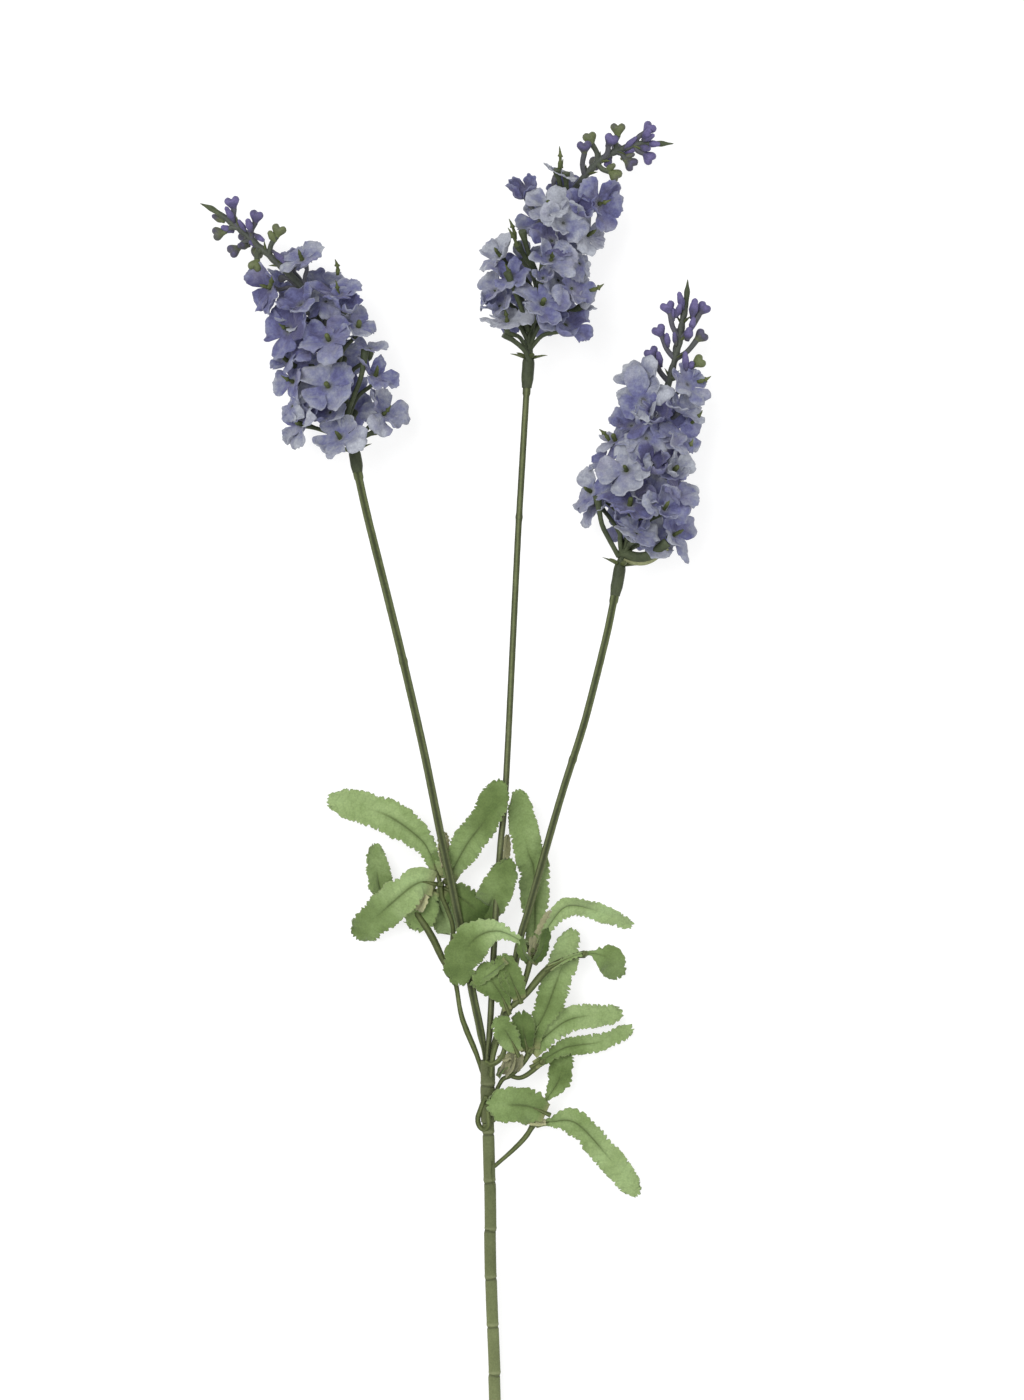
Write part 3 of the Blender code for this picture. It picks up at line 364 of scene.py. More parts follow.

# Leaves: midrib route, greatest width, roll in degrees about the midrib, and tone (0 dark olive, 1 light
# sage) at the base and at the tip. Besides the print's own greens, the tone holds painted shade on leaves
# that lie in shade, such as leaf_left_dark, and painted light on leaves that others shade.
LEAVES = {
    "leaf_left_long": (((-21.7, 258.6, 12.2), (-24.6, 267.2, 12.8), (-29.5, 274.0, 13.6),
                        (-43.3, 283.0, 14.4), (-64.4, 288.0, 9.0)), 13.4, 0, (0.6, 0.7)),
    "leaf_left_upper": (((-18.2, 257.6, 11.2), (-15.6, 262.2, 12.0), (-10.0, 272.0, 17.0),
                         (-3.0, 281.8, 20.8), (2.3, 296.2, 21.6)), 12.8, 0, (0.54, 0.28)),
    "leaf_left_broad": (((-23.4, 255.9, 12.3), (-28.9, 256.4, 15.5), (-36.8, 250.8, 15.5),
                         (-54.2, 234.6, 3.5)), 14.6, 0, (0.72, 0.32)),
    "leaf_left_small": (((-31.7, 247.3, 9.5), (-40.4, 248.4, 7.8), (-44.2, 255.0, 8.0),
                         (-46.4, 271.4, 9.0)), 10.4, 30, (0.58, 0.62)),
    "leaf_left_under": (((-24.0, 253.4, 11.2), (-27.2, 247.0, 11.0), (-31.0, 237.4, 9.0)), 12.6, 0,
                        (0.52, 0.56)),
    "leaf_left_drooping": (((-23.4, 253.6, 10.0), (-20.8, 246.0, 8.0), (-16.4, 236.0, 4.5)), 11.2, 0,
                           (0.86, 0.75)),
    "leaf_left_dark": (((-19.0, 254.0, 11.6), (-13.0, 250.6, 13.6), (-7.4, 246.2, 14.0),
                        (-1.0, 241.2, 11.6)), 13.2, 0, (0.17, 0.08)),
    "leaf_middle_folded": (((-18.4, 256.0, 11.0), (-11.0, 249.6, 9.6), (-3.6, 246.6, 12.6),
                            (-0.8, 250.4, 17.6), (2.1, 257.3, 20.2), (6.0, 266.2, 21.0)), 13.2, 0,
                           (0.2, 0.31)),
    "leaf_centre_upright": (((14.2, 231.4, 14.0), (15.2, 237.0, 11.4), (15.2, 248.0, 10.6),
                             (14.8, 262.0, 11.4), (12.2, 270.0, 12.6), (8.7, 292.2, 14.0)), 12.0, 0,
                            (0.62, 0.55)),
    "leaf_centre_arching": (((13.4, 231.4, 15.7), (8.0, 235.6, 19.0), (0.8, 238.4, 21.6),
                             (-6.6, 236.2, 22.4), (-12.0, 229.0, 20.8), (-14.0, 217.2, 18.2)), 15.4, 0,
                            (0.84, 0.27)),
    "leaf_centre_narrow": (((15.9, 231.4, 15.0), (21.8, 241.8, 17.0), (27.9, 247.6, 17.8),
                            (38.4, 245.8, 15.0), (52.8, 239.6, 8.0)), 7.9, 25, (0.72, 0.82)),
    "leaf_fold_left": (((4.9, 208.2, 18.6), (2.4, 214.0, 19.2), (-1.6, 220.6, 19.2),
                        (-3.4, 227.0, 18.4)), 14.6, 0, (0.24, 0.3)),
    "leaf_fold_right": (((9.4, 212.4, 17.6), (6.8, 219.0, 19.4), (2.0, 229.6, 19.0)), 9.4, 0,
                        (0.2, 0.3)),
    "leaf_on_stalk": (((20.6, 224.0, 16.6), (29.0, 228.1, 15.5), (34.9, 229.5, 14.8),
                       (40.3, 228.8, 14.2), (44.2, 226.2, 12.0), (47.2, 218.8, 6.0)), 11.4, 0,
                      (0.5, 0.36)),
    "leaf_right_tall": (((14.2, 193.2, 13.2), (15.6, 200.2, 13.6), (19.2, 207.0, 13.6),
                         (23.1, 217.3, 12.4), (30.4, 238.8, 8.0)), 11.9, 0, (0.34, 0.7)),
    "leaf_right_wide": (((13.2, 192.4, 12.6), (19.6, 198.0, 12.0), (30.0, 204.5, 11.6),
                         (49.0, 206.0, 7.0)), 9.9, 0, (0.58, 0.74)),
    "leaf_right_narrow": (((15.0, 186.6, 11.4), (20.6, 189.8, 10.4), (27.6, 193.2, 8.4),
                           (38.5, 194.8, 7.8), (46.5, 197.4, 6.0), (53.2, 200.6, 4.0)), 7.4, 0,
                          (0.34, 0.62)),
    "leaf_small_light": (((8.4, 192.0, 17.0), (6.4, 196.4, 18.6), (3.4, 201.4, 19.8),
                          (0.6, 206.0, 19.8)), 9.2, 0, (0.44, 0.31)),
    "leaf_small_dark": (((12.4, 192.4, 13.8), (11.0, 199.0, 16.0), (10.0, 208.0, 15.4)), 9.0, 0,
                        (0.05, 0.14)),
    "leaf_low_upright": (((14.9, 166.0, 9.6), (17.9, 171.2, 10.0), (22.7, 177.6, 9.2),
                          (25.3, 183.3, 7.6), (26.0, 195.0, 5.4)), 10.1, 0, (0.38, 0.3)),
    "leaf_low_across": (((19.4, 168.2, 11.0), (13.0, 171.0, 13.2), (5.0, 171.9, 15.6),
                         (-3.6, 172.2, 17.0)), 14.2, 0, (0.34, 0.46)),
    "leaf_low_drooping": (((15.6, 163.6, 8.6), (22.0, 164.6, 7.8), (31.2, 164.0, 8.8),
                           (43.3, 151.0, 5.5), (55.2, 135.4, 0.9)), 10.6, 0, (0.58, 0.74)),
}

# Where a leaf's blade starts: its width there as a part of the widest, the share of its length
# that stays so narrow, and the share over which it then widens.
BLADE_START = (0.5, 0.0, 0.4)
BLADE_STARTS = {
    "leaf_left_long": (0.36, 0.0, 0.5), "leaf_left_broad": (0.62, 0.0, 0.3),
    "leaf_left_small": (0.2, 0.3, 0.2), "leaf_left_drooping": (0.6, 0.0, 0.3),
    "leaf_middle_folded": (0.25, 0.25, 0.35), "leaf_centre_arching": (0.2, 0.13, 0.5),
    "leaf_centre_narrow": (0.3, 0.0, 0.4), "leaf_fold_left": (0.22, 0.0, 0.75),
    "leaf_on_stalk": (0.17, 0.44, 0.22), "leaf_right_tall": (0.45, 0.0, 0.4),
    "leaf_right_wide": (0.75, 0.0, 0.2), "leaf_right_narrow": (0.4, 0.0, 0.4),
    "leaf_low_upright": (0.12, 0.2, 0.4), "leaf_low_across": (0.5, 0.0, 0.25),
    "leaf_low_drooping": (0.2, 0.05, 0.22),
}

# Creased bits of cloth beside a leaf's base: route, width, tone, and whether the pale backing is on top. A
# high tone brightens the backing past its own beige, painted light on scraps that lie in shade.
SCRAPS = {
    "leaf_small_dark": (
        (((2.2, 183.6, 14.4), (3.8, 187.0, 17.0), (3.8, 191.4, 16.6)), 3.4, 0.2, True),
        (((4.0, 183.2, 14.4), (6.0, 186.5, 17.0), (7.0, 191.2, 16.6)), 3.6, 0.4, True),
        (((6.2, 184.6, 14.8), (7.6, 188.5, 17.2), (6.4, 193.6, 16.6)), 3.0, 0.0, True),
        (((1.6, 190.8, 16.4), (4.0, 189.8, 17.6), (8.6, 192.2, 15.8)), 2.8, 0.5, True),
        (((8.0, 184.4, 13.2), (9.4, 187.0, 15.2), (10.0, 191.4, 15.8)), 2.8, 0.25, True),
        (((1.2, 182.4, 14.2), (2.6, 185.2, 15.4), (5.2, 187.4, 15.8)), 2.6, 0.2, False)),
    "leaf_left_long": (
        (((-18.6, 262.5, 13.4), (-19.6, 268.5, 13.8), (-20.0, 276.0, 13.6)), 6.0, 0.9, True),
        (((-19.8, 258.0, 12.4), (-20.6, 263.0, 13.0), (-23.6, 268.0, 13.2)), 4.0, 0.3, False)),
    "leaf_left_under": (
        (((-26.4, 252.0, 14.6), (-27.8, 249.2, 14.0), (-29.4, 245.4, 12.6)), 5.6, 1.0, True),),
    "leaf_left_upper": (
        (((3.6, 262.0, 9.0), (4.2, 268.0, 9.2), (4.8, 274.6, 9.4)), 3.4, 0.9, True),),
    "leaf_centre_narrow": (
        (((14.2, 225.6, 14.8), (18.0, 230.5, 16.8), (19.8, 239.5, 16.8)), 4.8, 0.05, False),
        (((13.6, 225.6, 15.0), (10.8, 230.0, 17.6), (9.8, 236.5, 18.6)), 4.6, 0.15, False),
        (((13.6, 228.0, 15.6), (14.2, 231.5, 16.8), (14.6, 236.6, 16.6)), 4.0, 0.4, True),
        (((16.4, 236.5, 14.6), (19.0, 241.0, 15.0), (21.5, 246.0, 15.2)), 4.2, 0.6, True)),
    "leaf_fold_left": (
        (((4.4, 227.2, 20.4), (-1.5, 222.4, 20.2), (-9.4, 217.2, 18.8)), 4.6, 0.36, False),),
    "leaf_low_across": (
        (((19.4, 164.6, 9.8), (16.0, 165.0, 11.0), (11.6, 165.4, 11.2)), 3.2, 0.9, True),),
}

LEAF_COLUMNS = (-1.0, -0.9, -0.78, -0.6, -0.4, -0.22, -0.1, -0.045, 0.0, 0.045, 0.1, 0.22, 0.4, 0.6, 0.78,
                0.9, 1.0)

LEAF_ROW = 0.34
LEAF_SHEET = 0.3
LEAF_FLOOR = 0.35             # lowest height of a leaf's sheet
LEAF_CREASE = 0.34            # depth of the groove along the midrib
LEAF_FOLD = 0.16              # how steeply the halves rise from it
RIPPLE, FINE_RIPPLE = 1.9, 0.7
TOOTH = 2.2
TOOTH_DEPTH = 1.15
END_TOOTH = 1.2               # how much deeper the teeth of the blunt end are
TIP_FLAT = 0.4                # how much of a leaf's width its toothed end keeps
TIP_START = 0.88              # share of a leaf's length at which its blunt end starts to round
RAGGED_START = 0.84           # and at which its teeth start to cut into the end
NARROWEST_SHEET = 9.5         # leaves at least this wide get their cut width, twig and area worked out
CUT_ALLOWANCE = 0.5           # what the teeth stand out past the width of the tables

# ------------------------------------------------------------------ routes and places

def place(point):
    """A point of the tables, in the frame's metres."""
    return (Vector(point) - BOX_MIDDLE) * MM


def smooth_step(value):
    value = min(max(value, 0.0), 1.0)
    return value * value * (3 - 2 * value)


def bell(value, width):
    """1 at a value of 0, falling smoothly to almost nothing at two widths."""
    return math.exp(-(value / width) ** 2)


def waver(x, y, z):
    """Smooth unevenness, about -0.5 to 0.5, that is the same each run."""
    return noise.noise(Vector((x, y, z)))


def spline_point(points, index, share):
    """Point of the smooth curve through the points, between index and index + 1."""
    last = len(points) - 1
    before, start = points[max(index - 1, 0)], points[index]
    end, after = points[min(index + 1, last)], points[min(index + 2, last)]
    run_in, run_out = (end - before) / 2, (after - start) / 2
    s2, s3 = share ** 2, share ** 3
    return ((2 * s3 - 3 * s2 + 1) * start + (s3 - 2 * s2 + share) * run_in
            + (3 * s2 - 2 * s3) * end + (s3 - s2) * run_out)


class Route:
    """A smooth curve through given points, read by distance along it."""

    def __init__(self, points, samples=24):
        points = [Vector(point) for point in points]
        self.points = [points[0]]
        for index in range(len(points) - 1):
            for step in range(1, samples + 1):
                self.points.append(spline_point(points, index, step / samples))
        self.reach = [0.0]
        for start, end in zip(self.points, self.points[1:]):
            self.reach.append(self.reach[-1] + (end - start).length)
        self.length = self.reach[-1]

    def at(self, distance):
        distance = min(max(distance, 0.0), self.length)
        low, high = 0, len(self.reach) - 1
        while high - low > 1:
            middle = (low + high) // 2
            low, high = (middle, high) if self.reach[middle] < distance else (low, middle)
        share = (distance - self.reach[low]) / (self.reach[high] - self.reach[low])
        return self.points[low].lerp(self.points[high], share)

    def direction(self, distance):
        step = 0.5
        return (self.at(distance + step) - self.at(distance - step)).normalized()


def frame_at(route, distance):
    """Position, direction, right-hand side and upward side of a route."""
    forward = route.direction(distance)
    side = forward.cross(Vector((0, 0, 1))).normalized()
    return route.at(distance), forward, side, side.cross(forward)


def even(route, spacing, radius, tint=0.0, start=0.0):
    """Evenly spaced (point, radius, tint) to a route's end; radius may be a function."""
    count = max(2, round((route.length - start) / spacing))
    stops = [start + (route.length - start) * step / count for step in range(count + 1)]
    return [(route.at(stop), radius(stop) if callable(radius) else radius, tint) for stop in stops]


def turned(facing, spin):
    """Rotation that points z along facing and spins about it."""
    return facing.to_track_quat("Z", "Y") @ Matrix.Rotation(spin, 3, "Z").to_quaternion()

# ------------------------------------------------------------------ node helpers

class Field:
    """A value that varies over a surface; what is worked out from it becomes nodes of its tree."""

    def __init__(self, socket):
        self.socket = socket
        self.tree = socket.id_data

    def calc(self, operation, *others):
        node = self.tree.nodes.new("ShaderNodeMath")
        node.operation = operation
        for slot, value in zip(node.inputs, (self, *others)):
            connect(value, slot)
        return Field(node.outputs[0])

    def __add__(self, other):
        return self.calc("ADD", other)

    def __sub__(self, other):
        return self.calc("SUBTRACT", other)

    def __mul__(self, other):
        return self.calc("MULTIPLY", other)

    def scaled(self, factor, offset):
        return self.calc("MULTIPLY_ADD", factor, offset)

    def part(self, axis):
        """X, Y or Z of a vector."""
        return put(self.tree, "ShaderNodeSeparateXYZ", axis, Vector=self)

    def times(self, factor):
        """A vector made longer by a factor."""
        return put(self.tree, "ShaderNodeVectorMath", "Vector", operation="SCALE", Vector=self, Scale=factor)

    def span(self, low, high, to_low=0.0, to_high=1.0):
        """Mapped from one range to another, clamped."""
        return put(self.tree, "ShaderNodeMapRange", "Result", Value=self, From_Min=low, From_Max=high,
                   To_Min=to_low, To_Max=to_high)

    def ramp(self, *stops):
        """A colour ramp; stops are (position, colour)."""
        node = self.tree.nodes.new("ShaderNodeValToRGB")
        elements = node.color_ramp.elements
        while len(elements) < len(stops):
            elements.new(0.5)
        for element, (position, colour) in zip(elements, stops):
            element.position = position
            element.color = (*colour, 1.0)
        connect(self, node.inputs["Fac"])
        return Field(node.outputs["Color"])

    def mixed(self, factor, other, blend="MIX"):
        """This colour with another over it."""
        return mix(self.tree, factor, self, other, blend)

    def toned(self, value, low, high, dark, light):
        """This colour multiplied by dark to light as a value goes from low to high."""
        return self.mixed(1.0, value.span(low, high, dark, light), "MULTIPLY")


def connect(value, slot):
    """Link a field to an input, or set the input to a plain value; a tuple is a colour."""
    if isinstance(value, Field):
        slot.id_data.links.new(value.socket, slot)
    elif value is not None:
        slot.default_value = (*value, 1.0) if isinstance(value, tuple) else value


def put(tree, kind, output, **settings):
    """Add a node and return one of its outputs; a setting is a property or an input."""
    node = tree.nodes.new(kind)
    for name, value in settings.items():
        if hasattr(node, name):
            setattr(node, name, value)
        else:
            connect(value, node.inputs[name.replace("_", " ")])
    return Field(node.outputs[output])


def mix(tree, factor, first, second, blend="MIX"):
    """A mix of two colours."""
    node = tree.nodes.new("ShaderNodeMix")
    node.data_type = "RGBA"
    node.blend_type = blend
    for slot, value in ((node.inputs[0], factor), (node.inputs[6], first), (node.inputs[7], second)):
        connect(value, slot)
    return Field(node.outputs[2])


def attribute(tree, name, output="Fac"):
    return put(tree, "ShaderNodeAttribute", output, attribute_name=name)


def noise_mask(tree, vector, scale, detail, roughness=0.55):
    return put(tree, "ShaderNodeTexNoise", "Fac", Scale=scale, Detail=detail, Roughness=roughness,
               Vector=vector)


def open_tree(name, kind, inputs, outputs):
    """An empty node group; returns it, its inputs as fields, and the sockets of its outputs."""
    tree = bpy.data.node_groups.new(name, kind)
    for label, socket, value in inputs:
        slot = tree.interface.new_socket(label, in_out="INPUT", socket_type="NodeSocket" + socket)
        if value is not None:
            slot.default_value = value
    for label, socket in outputs:
        tree.interface.new_socket(label, in_out="OUTPUT", socket_type="NodeSocket" + socket)
    source = tree.nodes.new("NodeGroupInput").outputs
    result = tree.nodes.new("NodeGroupOutput").inputs
    return tree, {label: Field(source[label]) for label, _, _ in inputs}, result


def place_group(tree, group, inputs, outputs):
    """Put a shared effect into a material with its own values; returns its outputs."""
    node = tree.nodes.new("ShaderNodeGroup")
    node.node_tree = group
    for name, value in inputs.items():
        connect(value, node.inputs[name])
    return [Field(node.outputs[name]) for name in outputs]


def new_material(name, roughness, **constants):
    """A material, its tree, its Principled shader's inputs and the Object coordinates.

    Constants are set on the shader's own sockets."""
    material = bpy.data.materials.new(name)
    material.use_nodes = True
    tree = material.node_tree
    shader = tree.nodes["Principled BSDF"].inputs
    shader["Roughness"].default_value = roughness
    for key, value in constants.items():
        shader[key.replace("_", " ")].default_value = value
    return material, tree, shader, put(tree, "ShaderNodeTexCoord", "Object")


def bump(tree, shader, height, distance, strength=1.0):
    connect(put(tree, "ShaderNodeBump", "Normal", Strength=strength, Distance=distance, Height=height),
            shader["Normal"])

# ------------------------------------------------------------------ shared effects

def make_weave():
    """Woven cloth: crossing threads with uneven thickness."""
    tree, source, result = open_tree(
        "weave", "ShaderNodeTree",
        (("Vector", "Vector", None), ("Threads", "Float", 3.0), ("Unevenness", "Float", 0.5)),
        (("Height", "Float"), ("Shade", "Float")))
    warp, weft = (
        put(tree, "ShaderNodeTexWave", "Fac", bands_direction=direction, wave_profile="SIN", Distortion=0.6,
            Detail=1.0, Vector=source["Vector"], Scale=source["Threads"]) for direction in ("X", "Y"))
    crossing = warp.calc("MAXIMUM", weft)
    slub = noise_mask(tree, source["Vector"], 2.2, 4.0, 0.7)
    connect(crossing + slub * source["Unevenness"], result["Height"])
    connect(crossing * slub, result["Shade"])
    return tree


def make_mottle():
    """Large soft patches, and a finer grain over them, each from 0 to 1."""
    tree, source, result = open_tree(
        "mottle", "ShaderNodeTree",
        (("Vector", "Vector", None), ("Patches", "Float", 100.0), ("Grain", "Float", 900.0)),
        (("Patch", "Float"), ("Grain", "Float")))
    for size, detail, target in (("Patches", 2.0, "Patch"), ("Grain", 3.0, "Grain")):
        cloud = noise_mask(tree, source["Vector"], source[size], detail, 0.6)
        connect(cloud.span(0.32, 0.68), result[target])
    return tree


WEAVE = make_weave()
MOTTLE = make_mottle()


def woven(tree, cloth, threads, unevenness):
    """Height and shade of a weave with so many threads to a millimetre of cloth."""
    return place_group(tree, WEAVE, {"Vector": cloth, "Threads": threads, "Unevenness": unevenness},
                       ("Height", "Shade"))


def mottled(tree, where, patches, grain):
    """Patches and grain with so many to a metre."""
    return place_group(tree, MOTTLE, {"Vector": where, "Patches": patches, "Grain": grain},
                       ("Patch", "Grain"))

# ------------------------------------------------------------------ materials

def petal_material():
    """Die-cut lavender fabric: washed-out patches, deep veins towards the throat, pale rim, and a painted
    glow in its own colour for light through the thin cloth.
    """
    # painted light: the emission strength set here makes the petals glow
    material, tree, shader, where = new_material(
        "petal_fabric", 0.86, Sheen_Weight=0.2, Sheen_Roughness=0.5, Specular_IOR_Level=0.2,
        Emission_Strength=0.14)
    patch, grain = mottled(tree, where, 230.0, 1500.0)
    wash, speckle = mottled(tree, where, 520.0, 95.0)
    reach, cloth = attribute(tree, "reach"), attribute(tree, "cloth", "Vector")
    threads, shade = woven(tree, cloth, 1.6, 0.8)
    tone = attribute(tree, "tone") + attribute(tree, "petal_tone") * 0.3
    level = tone + (patch.scaled(0.46, -0.23) + wash.scaled(0.16, -0.08)) + reach.span(0.2, 1.0, -0.16, 0.16)
    colour = level.ramp((0.0, (0.0635, 0.061, 0.14)), (0.28, (0.106, 0.11, 0.232)),
                        (0.55, (0.174, 0.184, 0.274)), (0.8, (0.255, 0.267, 0.32)),
                        (1.0, (0.342, 0.358, 0.402)))
    colour = colour.mixed(speckle.span(0.55, 1.0, 0.0, 0.5), (0.198, 0.193, 0.268))
    veins = put(tree, "ShaderNodeTexWave", "Fac", bands_direction="X", Scale=1.3, Distortion=3.0, Detail=2.0,
                Vector=cloth)
    colour = colour.mixed(veins.span(0.3, 0.0) * reach.span(0.9, 0.1, 0.0, 0.4), (0.078, 0.0825, 0.154))
    colour = colour.mixed(reach.span(0.26, 0.1, 0.0, 0.5), (0.135, 0.143, 0.124))
    colour = colour.mixed(reach.span(0.9, 1.0) * 0.2, (0.374, 0.396, 0.443))
    colour = colour.toned(grain, 0.0, 1.0, 0.84, 1.12).toned(shade, 0.1, 0.7, 0.93, 1.05)
    connect(colour, shader["Base Color"])
    # painted light: the cloth glows in its own colour, standing in for light through the thin cloth and
    # lifting its shade
    connect(colour, shader["Emission Color"])
    bump(tree, shader, threads, 0.00006, 0.6)
    return material


def leaf_material(name, back=False):
    """Printed fabric leaf: mottled sage green, embossed midrib with painted shade along its crease; the back
    is bare beige cloth.
    """
    material, tree, shader, where = new_material(
        name, 0.82, Sheen_Weight=0.15, Sheen_Roughness=0.5, Specular_IOR_Level=0.15)
    patch, grain = mottled(tree, where, 110.0, 1500.0)
    tone, along = attribute(tree, "tone"), attribute(tree, "along")
    threads, shade = woven(tree, attribute(tree, "cloth", "Vector"), 1.9, 0.7)
    away = attribute(tree, "across").calc("ABSOLUTE")
    fade = along.span(0.7, 0.5)
    # the midrib crease: its groove in the bump, and painted shade along it on both faces
    crease_and_shade = away.span(0.09, 0.02) * fade
    if back:
        colour = mix(tree, patch, (0.407, 0.398, 0.232), (0.32, 0.33, 0.172))
        colour = colour.mixed(along.span(0.3, 0.6), (0.2, 0.245, 0.115))
        # painted light: the tone scales the backing from 0.4 to 2 times its own beige
        colour = colour.toned(tone, 0.0, 2.0, 0.4, 2.0)
        colour = colour.mixed(crease_and_shade * 0.3, (0.11, 0.125, 0.06))
    else:
        level = tone + patch.scaled(0.22, -0.11)
        colour = level.ramp((0.0, (0.058, 0.098, 0.0224)), (0.25, (0.12, 0.178, 0.0533)),
                            (0.5, (0.196, 0.279, 0.1)), (0.75, (0.283, 0.38, 0.162)),
                            (1.0, (0.35, 0.49, 0.22)))
        veins = put(tree, "ShaderNodeTexWave", "Fac", bands_direction="DIAGONAL", Scale=0.16, Distortion=2.5,
                    Detail=2.0, Vector=attribute(tree, "veins", "Vector"))
        colour = colour.mixed(veins.span(0.22, 0.0) * 0.13, (0.097, 0.141, 0.043))
        # painted shade in a wider band round the midrib crease
        painted_crease_shade = away.span(0.3, 0.0) * fade
        colour = colour.mixed(painted_crease_shade * 0.46, (0.097, 0.145, 0.0387))
        colour = colour.mixed(crease_and_shade * 0.6, (0.0679, 0.097, 0.0258))
        colour = colour.mixed(along.span(0.1, 0.0) * 0.7, (0.242, 0.233, 0.112))
        colour = colour.mixed(away.span(0.9, 1.0) * 0.2, (0.291, 0.32, 0.146))
    colour = colour.toned(grain, 0.0, 1.0, 0.86, 1.12).toned(shade, 0.1, 0.7, 0.94, 1.05)
    connect(colour, shader["Base Color"])
    bump(tree, shader, threads - crease_and_shade * 3.0, 0.00007, 0.7)
    return material


def moulded_material(name, dark, light, violet=None, lines=0.0):
    """Moulded green plastic: painted highlight and painted shade lines along the rod, patchy tint, fine
    scratches.

    A tint from 0 to 1 leans to violet, above 1 to pale green, and below 0 it darkens."""
    material, tree, shader, where = new_material(name, 0.55, Specular_IOR_Level=0.22)
    patch, grain = mottled(tree, where, 150.0, 1100.0)
    tint = attribute(tree, "tint")
    colour = mix(tree, patch.span(0.3, 1.0, 0.0, 0.4), dark, light)
    # painted highlights and painted shade: pale and dark bands at set places round the rod
    if lines:
        phase = tint.scaled(math.tau, noise_mask(tree, where, 45.0, 1.0) * 2.2)
        wave = attribute(tree, "section", "Vector").part("X").scaled(4.6, phase).calc("SINE")
        colour = colour.mixed(wave.span(0.1, 1.0) * lines, light)
        colour = colour.mixed(wave.span(-0.2, -1.0) * lines, tuple(part * 0.55 for part in dark))
    else:
        if violet:
            colour = colour.mixed(tint.span(0.0, 1.0), violet)
            colour = colour.mixed(tint.span(1.0, 2.0), (0.235, 0.25, 0.13))
        colour = colour.mixed(tint.span(0.0, -1.0, 0.0, 0.7), (0.026, 0.03, 0.015))
    connect(colour.toned(grain, 0.0, 1.0, 0.8, 1.15), shader["Base Color"])
    connect(grain.span(0.0, 1.0, 0.48, 0.68), shader["Roughness"])
    bump(tree, shader, grain, 0.00006, 0.5)
    return material


def bud_material():
    """Bud plastic: violet tips over a green stalk, some buds left green."""
    material, tree, shader, where = new_material("bud_plastic", 0.6, Specular_IOR_Level=0.3)
    patch, grain = mottled(tree, where, 420.0, 1600.0)
    greener = attribute(tree, "reach").span(0.0, 0.6, 0.35, 0.0)
    level = attribute(tree, "tone") + patch.scaled(0.3, -0.15) + greener
    colour = level.ramp((0.0, (0.118, 0.1, 0.225)), (0.2, (0.085, 0.075, 0.165)),
                        (0.5, (0.066, 0.064, 0.078)), (0.75, (0.1, 0.112, 0.06)),
                        (1.0, (0.12, 0.145, 0.06)))
    connect(colour.toned(grain, 0.0, 1.0, 0.82, 1.15), shader["Base Color"])
    bump(tree, shader, grain, 0.00006, 0.5)
    return material


# Where the sleeve's colour pales towards the cut end, and where it darkens towards the junction.
SLEEVE_PALES = (-0.16, -0.185)
SLEEVE_DARKENS = (-0.115, -0.09)


def sleeve_material():
    """Smooth matte sleeve: fine marks across it, a painted highlight along one side, dark joints with pale
    lips.
    """
    material, tree, shader, where = new_material("sleeve_plastic", 0.66, Specular_IOR_Level=0.2)
    patch, grain = mottled(tree, where, 120.0, 1300.0)
    tint = attribute(tree, "tint")
    across = attribute(tree, "section", "Vector").part("X")
    stretched = put(tree, "ShaderNodeCombineXYZ", "Vector", X=across * 0.6, Y=attribute(tree, "along") * 2.4)
    marks = noise_mask(tree, stretched, 1.0, 4.0, 0.65)
    colour = mix(tree, patch, (0.112, 0.133, 0.0552), (0.136, 0.16, 0.069))
    colour = colour.mixed(marks.span(0.52, 0.75, 0.0, 0.3), (0.17, 0.19, 0.09))
    colour = colour.mixed(marks.span(0.45, 0.25, 0.0, 0.4), (0.0884, 0.105, 0.045))
    # painted highlight: one side of the sleeve is paler
    colour = colour.mixed(across.span(-0.35, -0.95, 0.0, 0.55), (0.17, 0.19, 0.084))
    colour = colour.mixed(tint.calc("MAXIMUM", 0.0) * 0.7, (0.204, 0.224, 0.114))
    colour = colour.mixed(tint.calc("MINIMUM", 0.0) * -0.75, (0.051, 0.0578, 0.027))
    colour = colour.toned(grain, 0.0, 1.0, 0.88, 1.1)
    colour = colour.toned(where.part("Y"), *SLEEVE_PALES, 0.84, 1.12)
    colour = colour.toned(where.part("Y"), *SLEEVE_DARKENS, 1.0, 0.84)
    connect(colour, shader["Base Color"])
    bump(tree, shader, marks, 0.00014, 0.7)
    return material


def wire_material():
    """Bare wire at the cut: drawn steel with snip marks."""
    material, tree, shader, where = new_material("cut_wire", 0.38, Metallic=1.0)
    patch, grain = mottled(tree, where, 700.0, 4000.0)
    connect(mix(tree, patch, (0.5, 0.49, 0.47), (0.32, 0.31, 0.29)), shader["Base Color"])
    connect(grain.span(0.0, 1.0, 0.25, 0.55), shader["Roughness"])
    bump(tree, shader, grain, 0.00004)
    return material


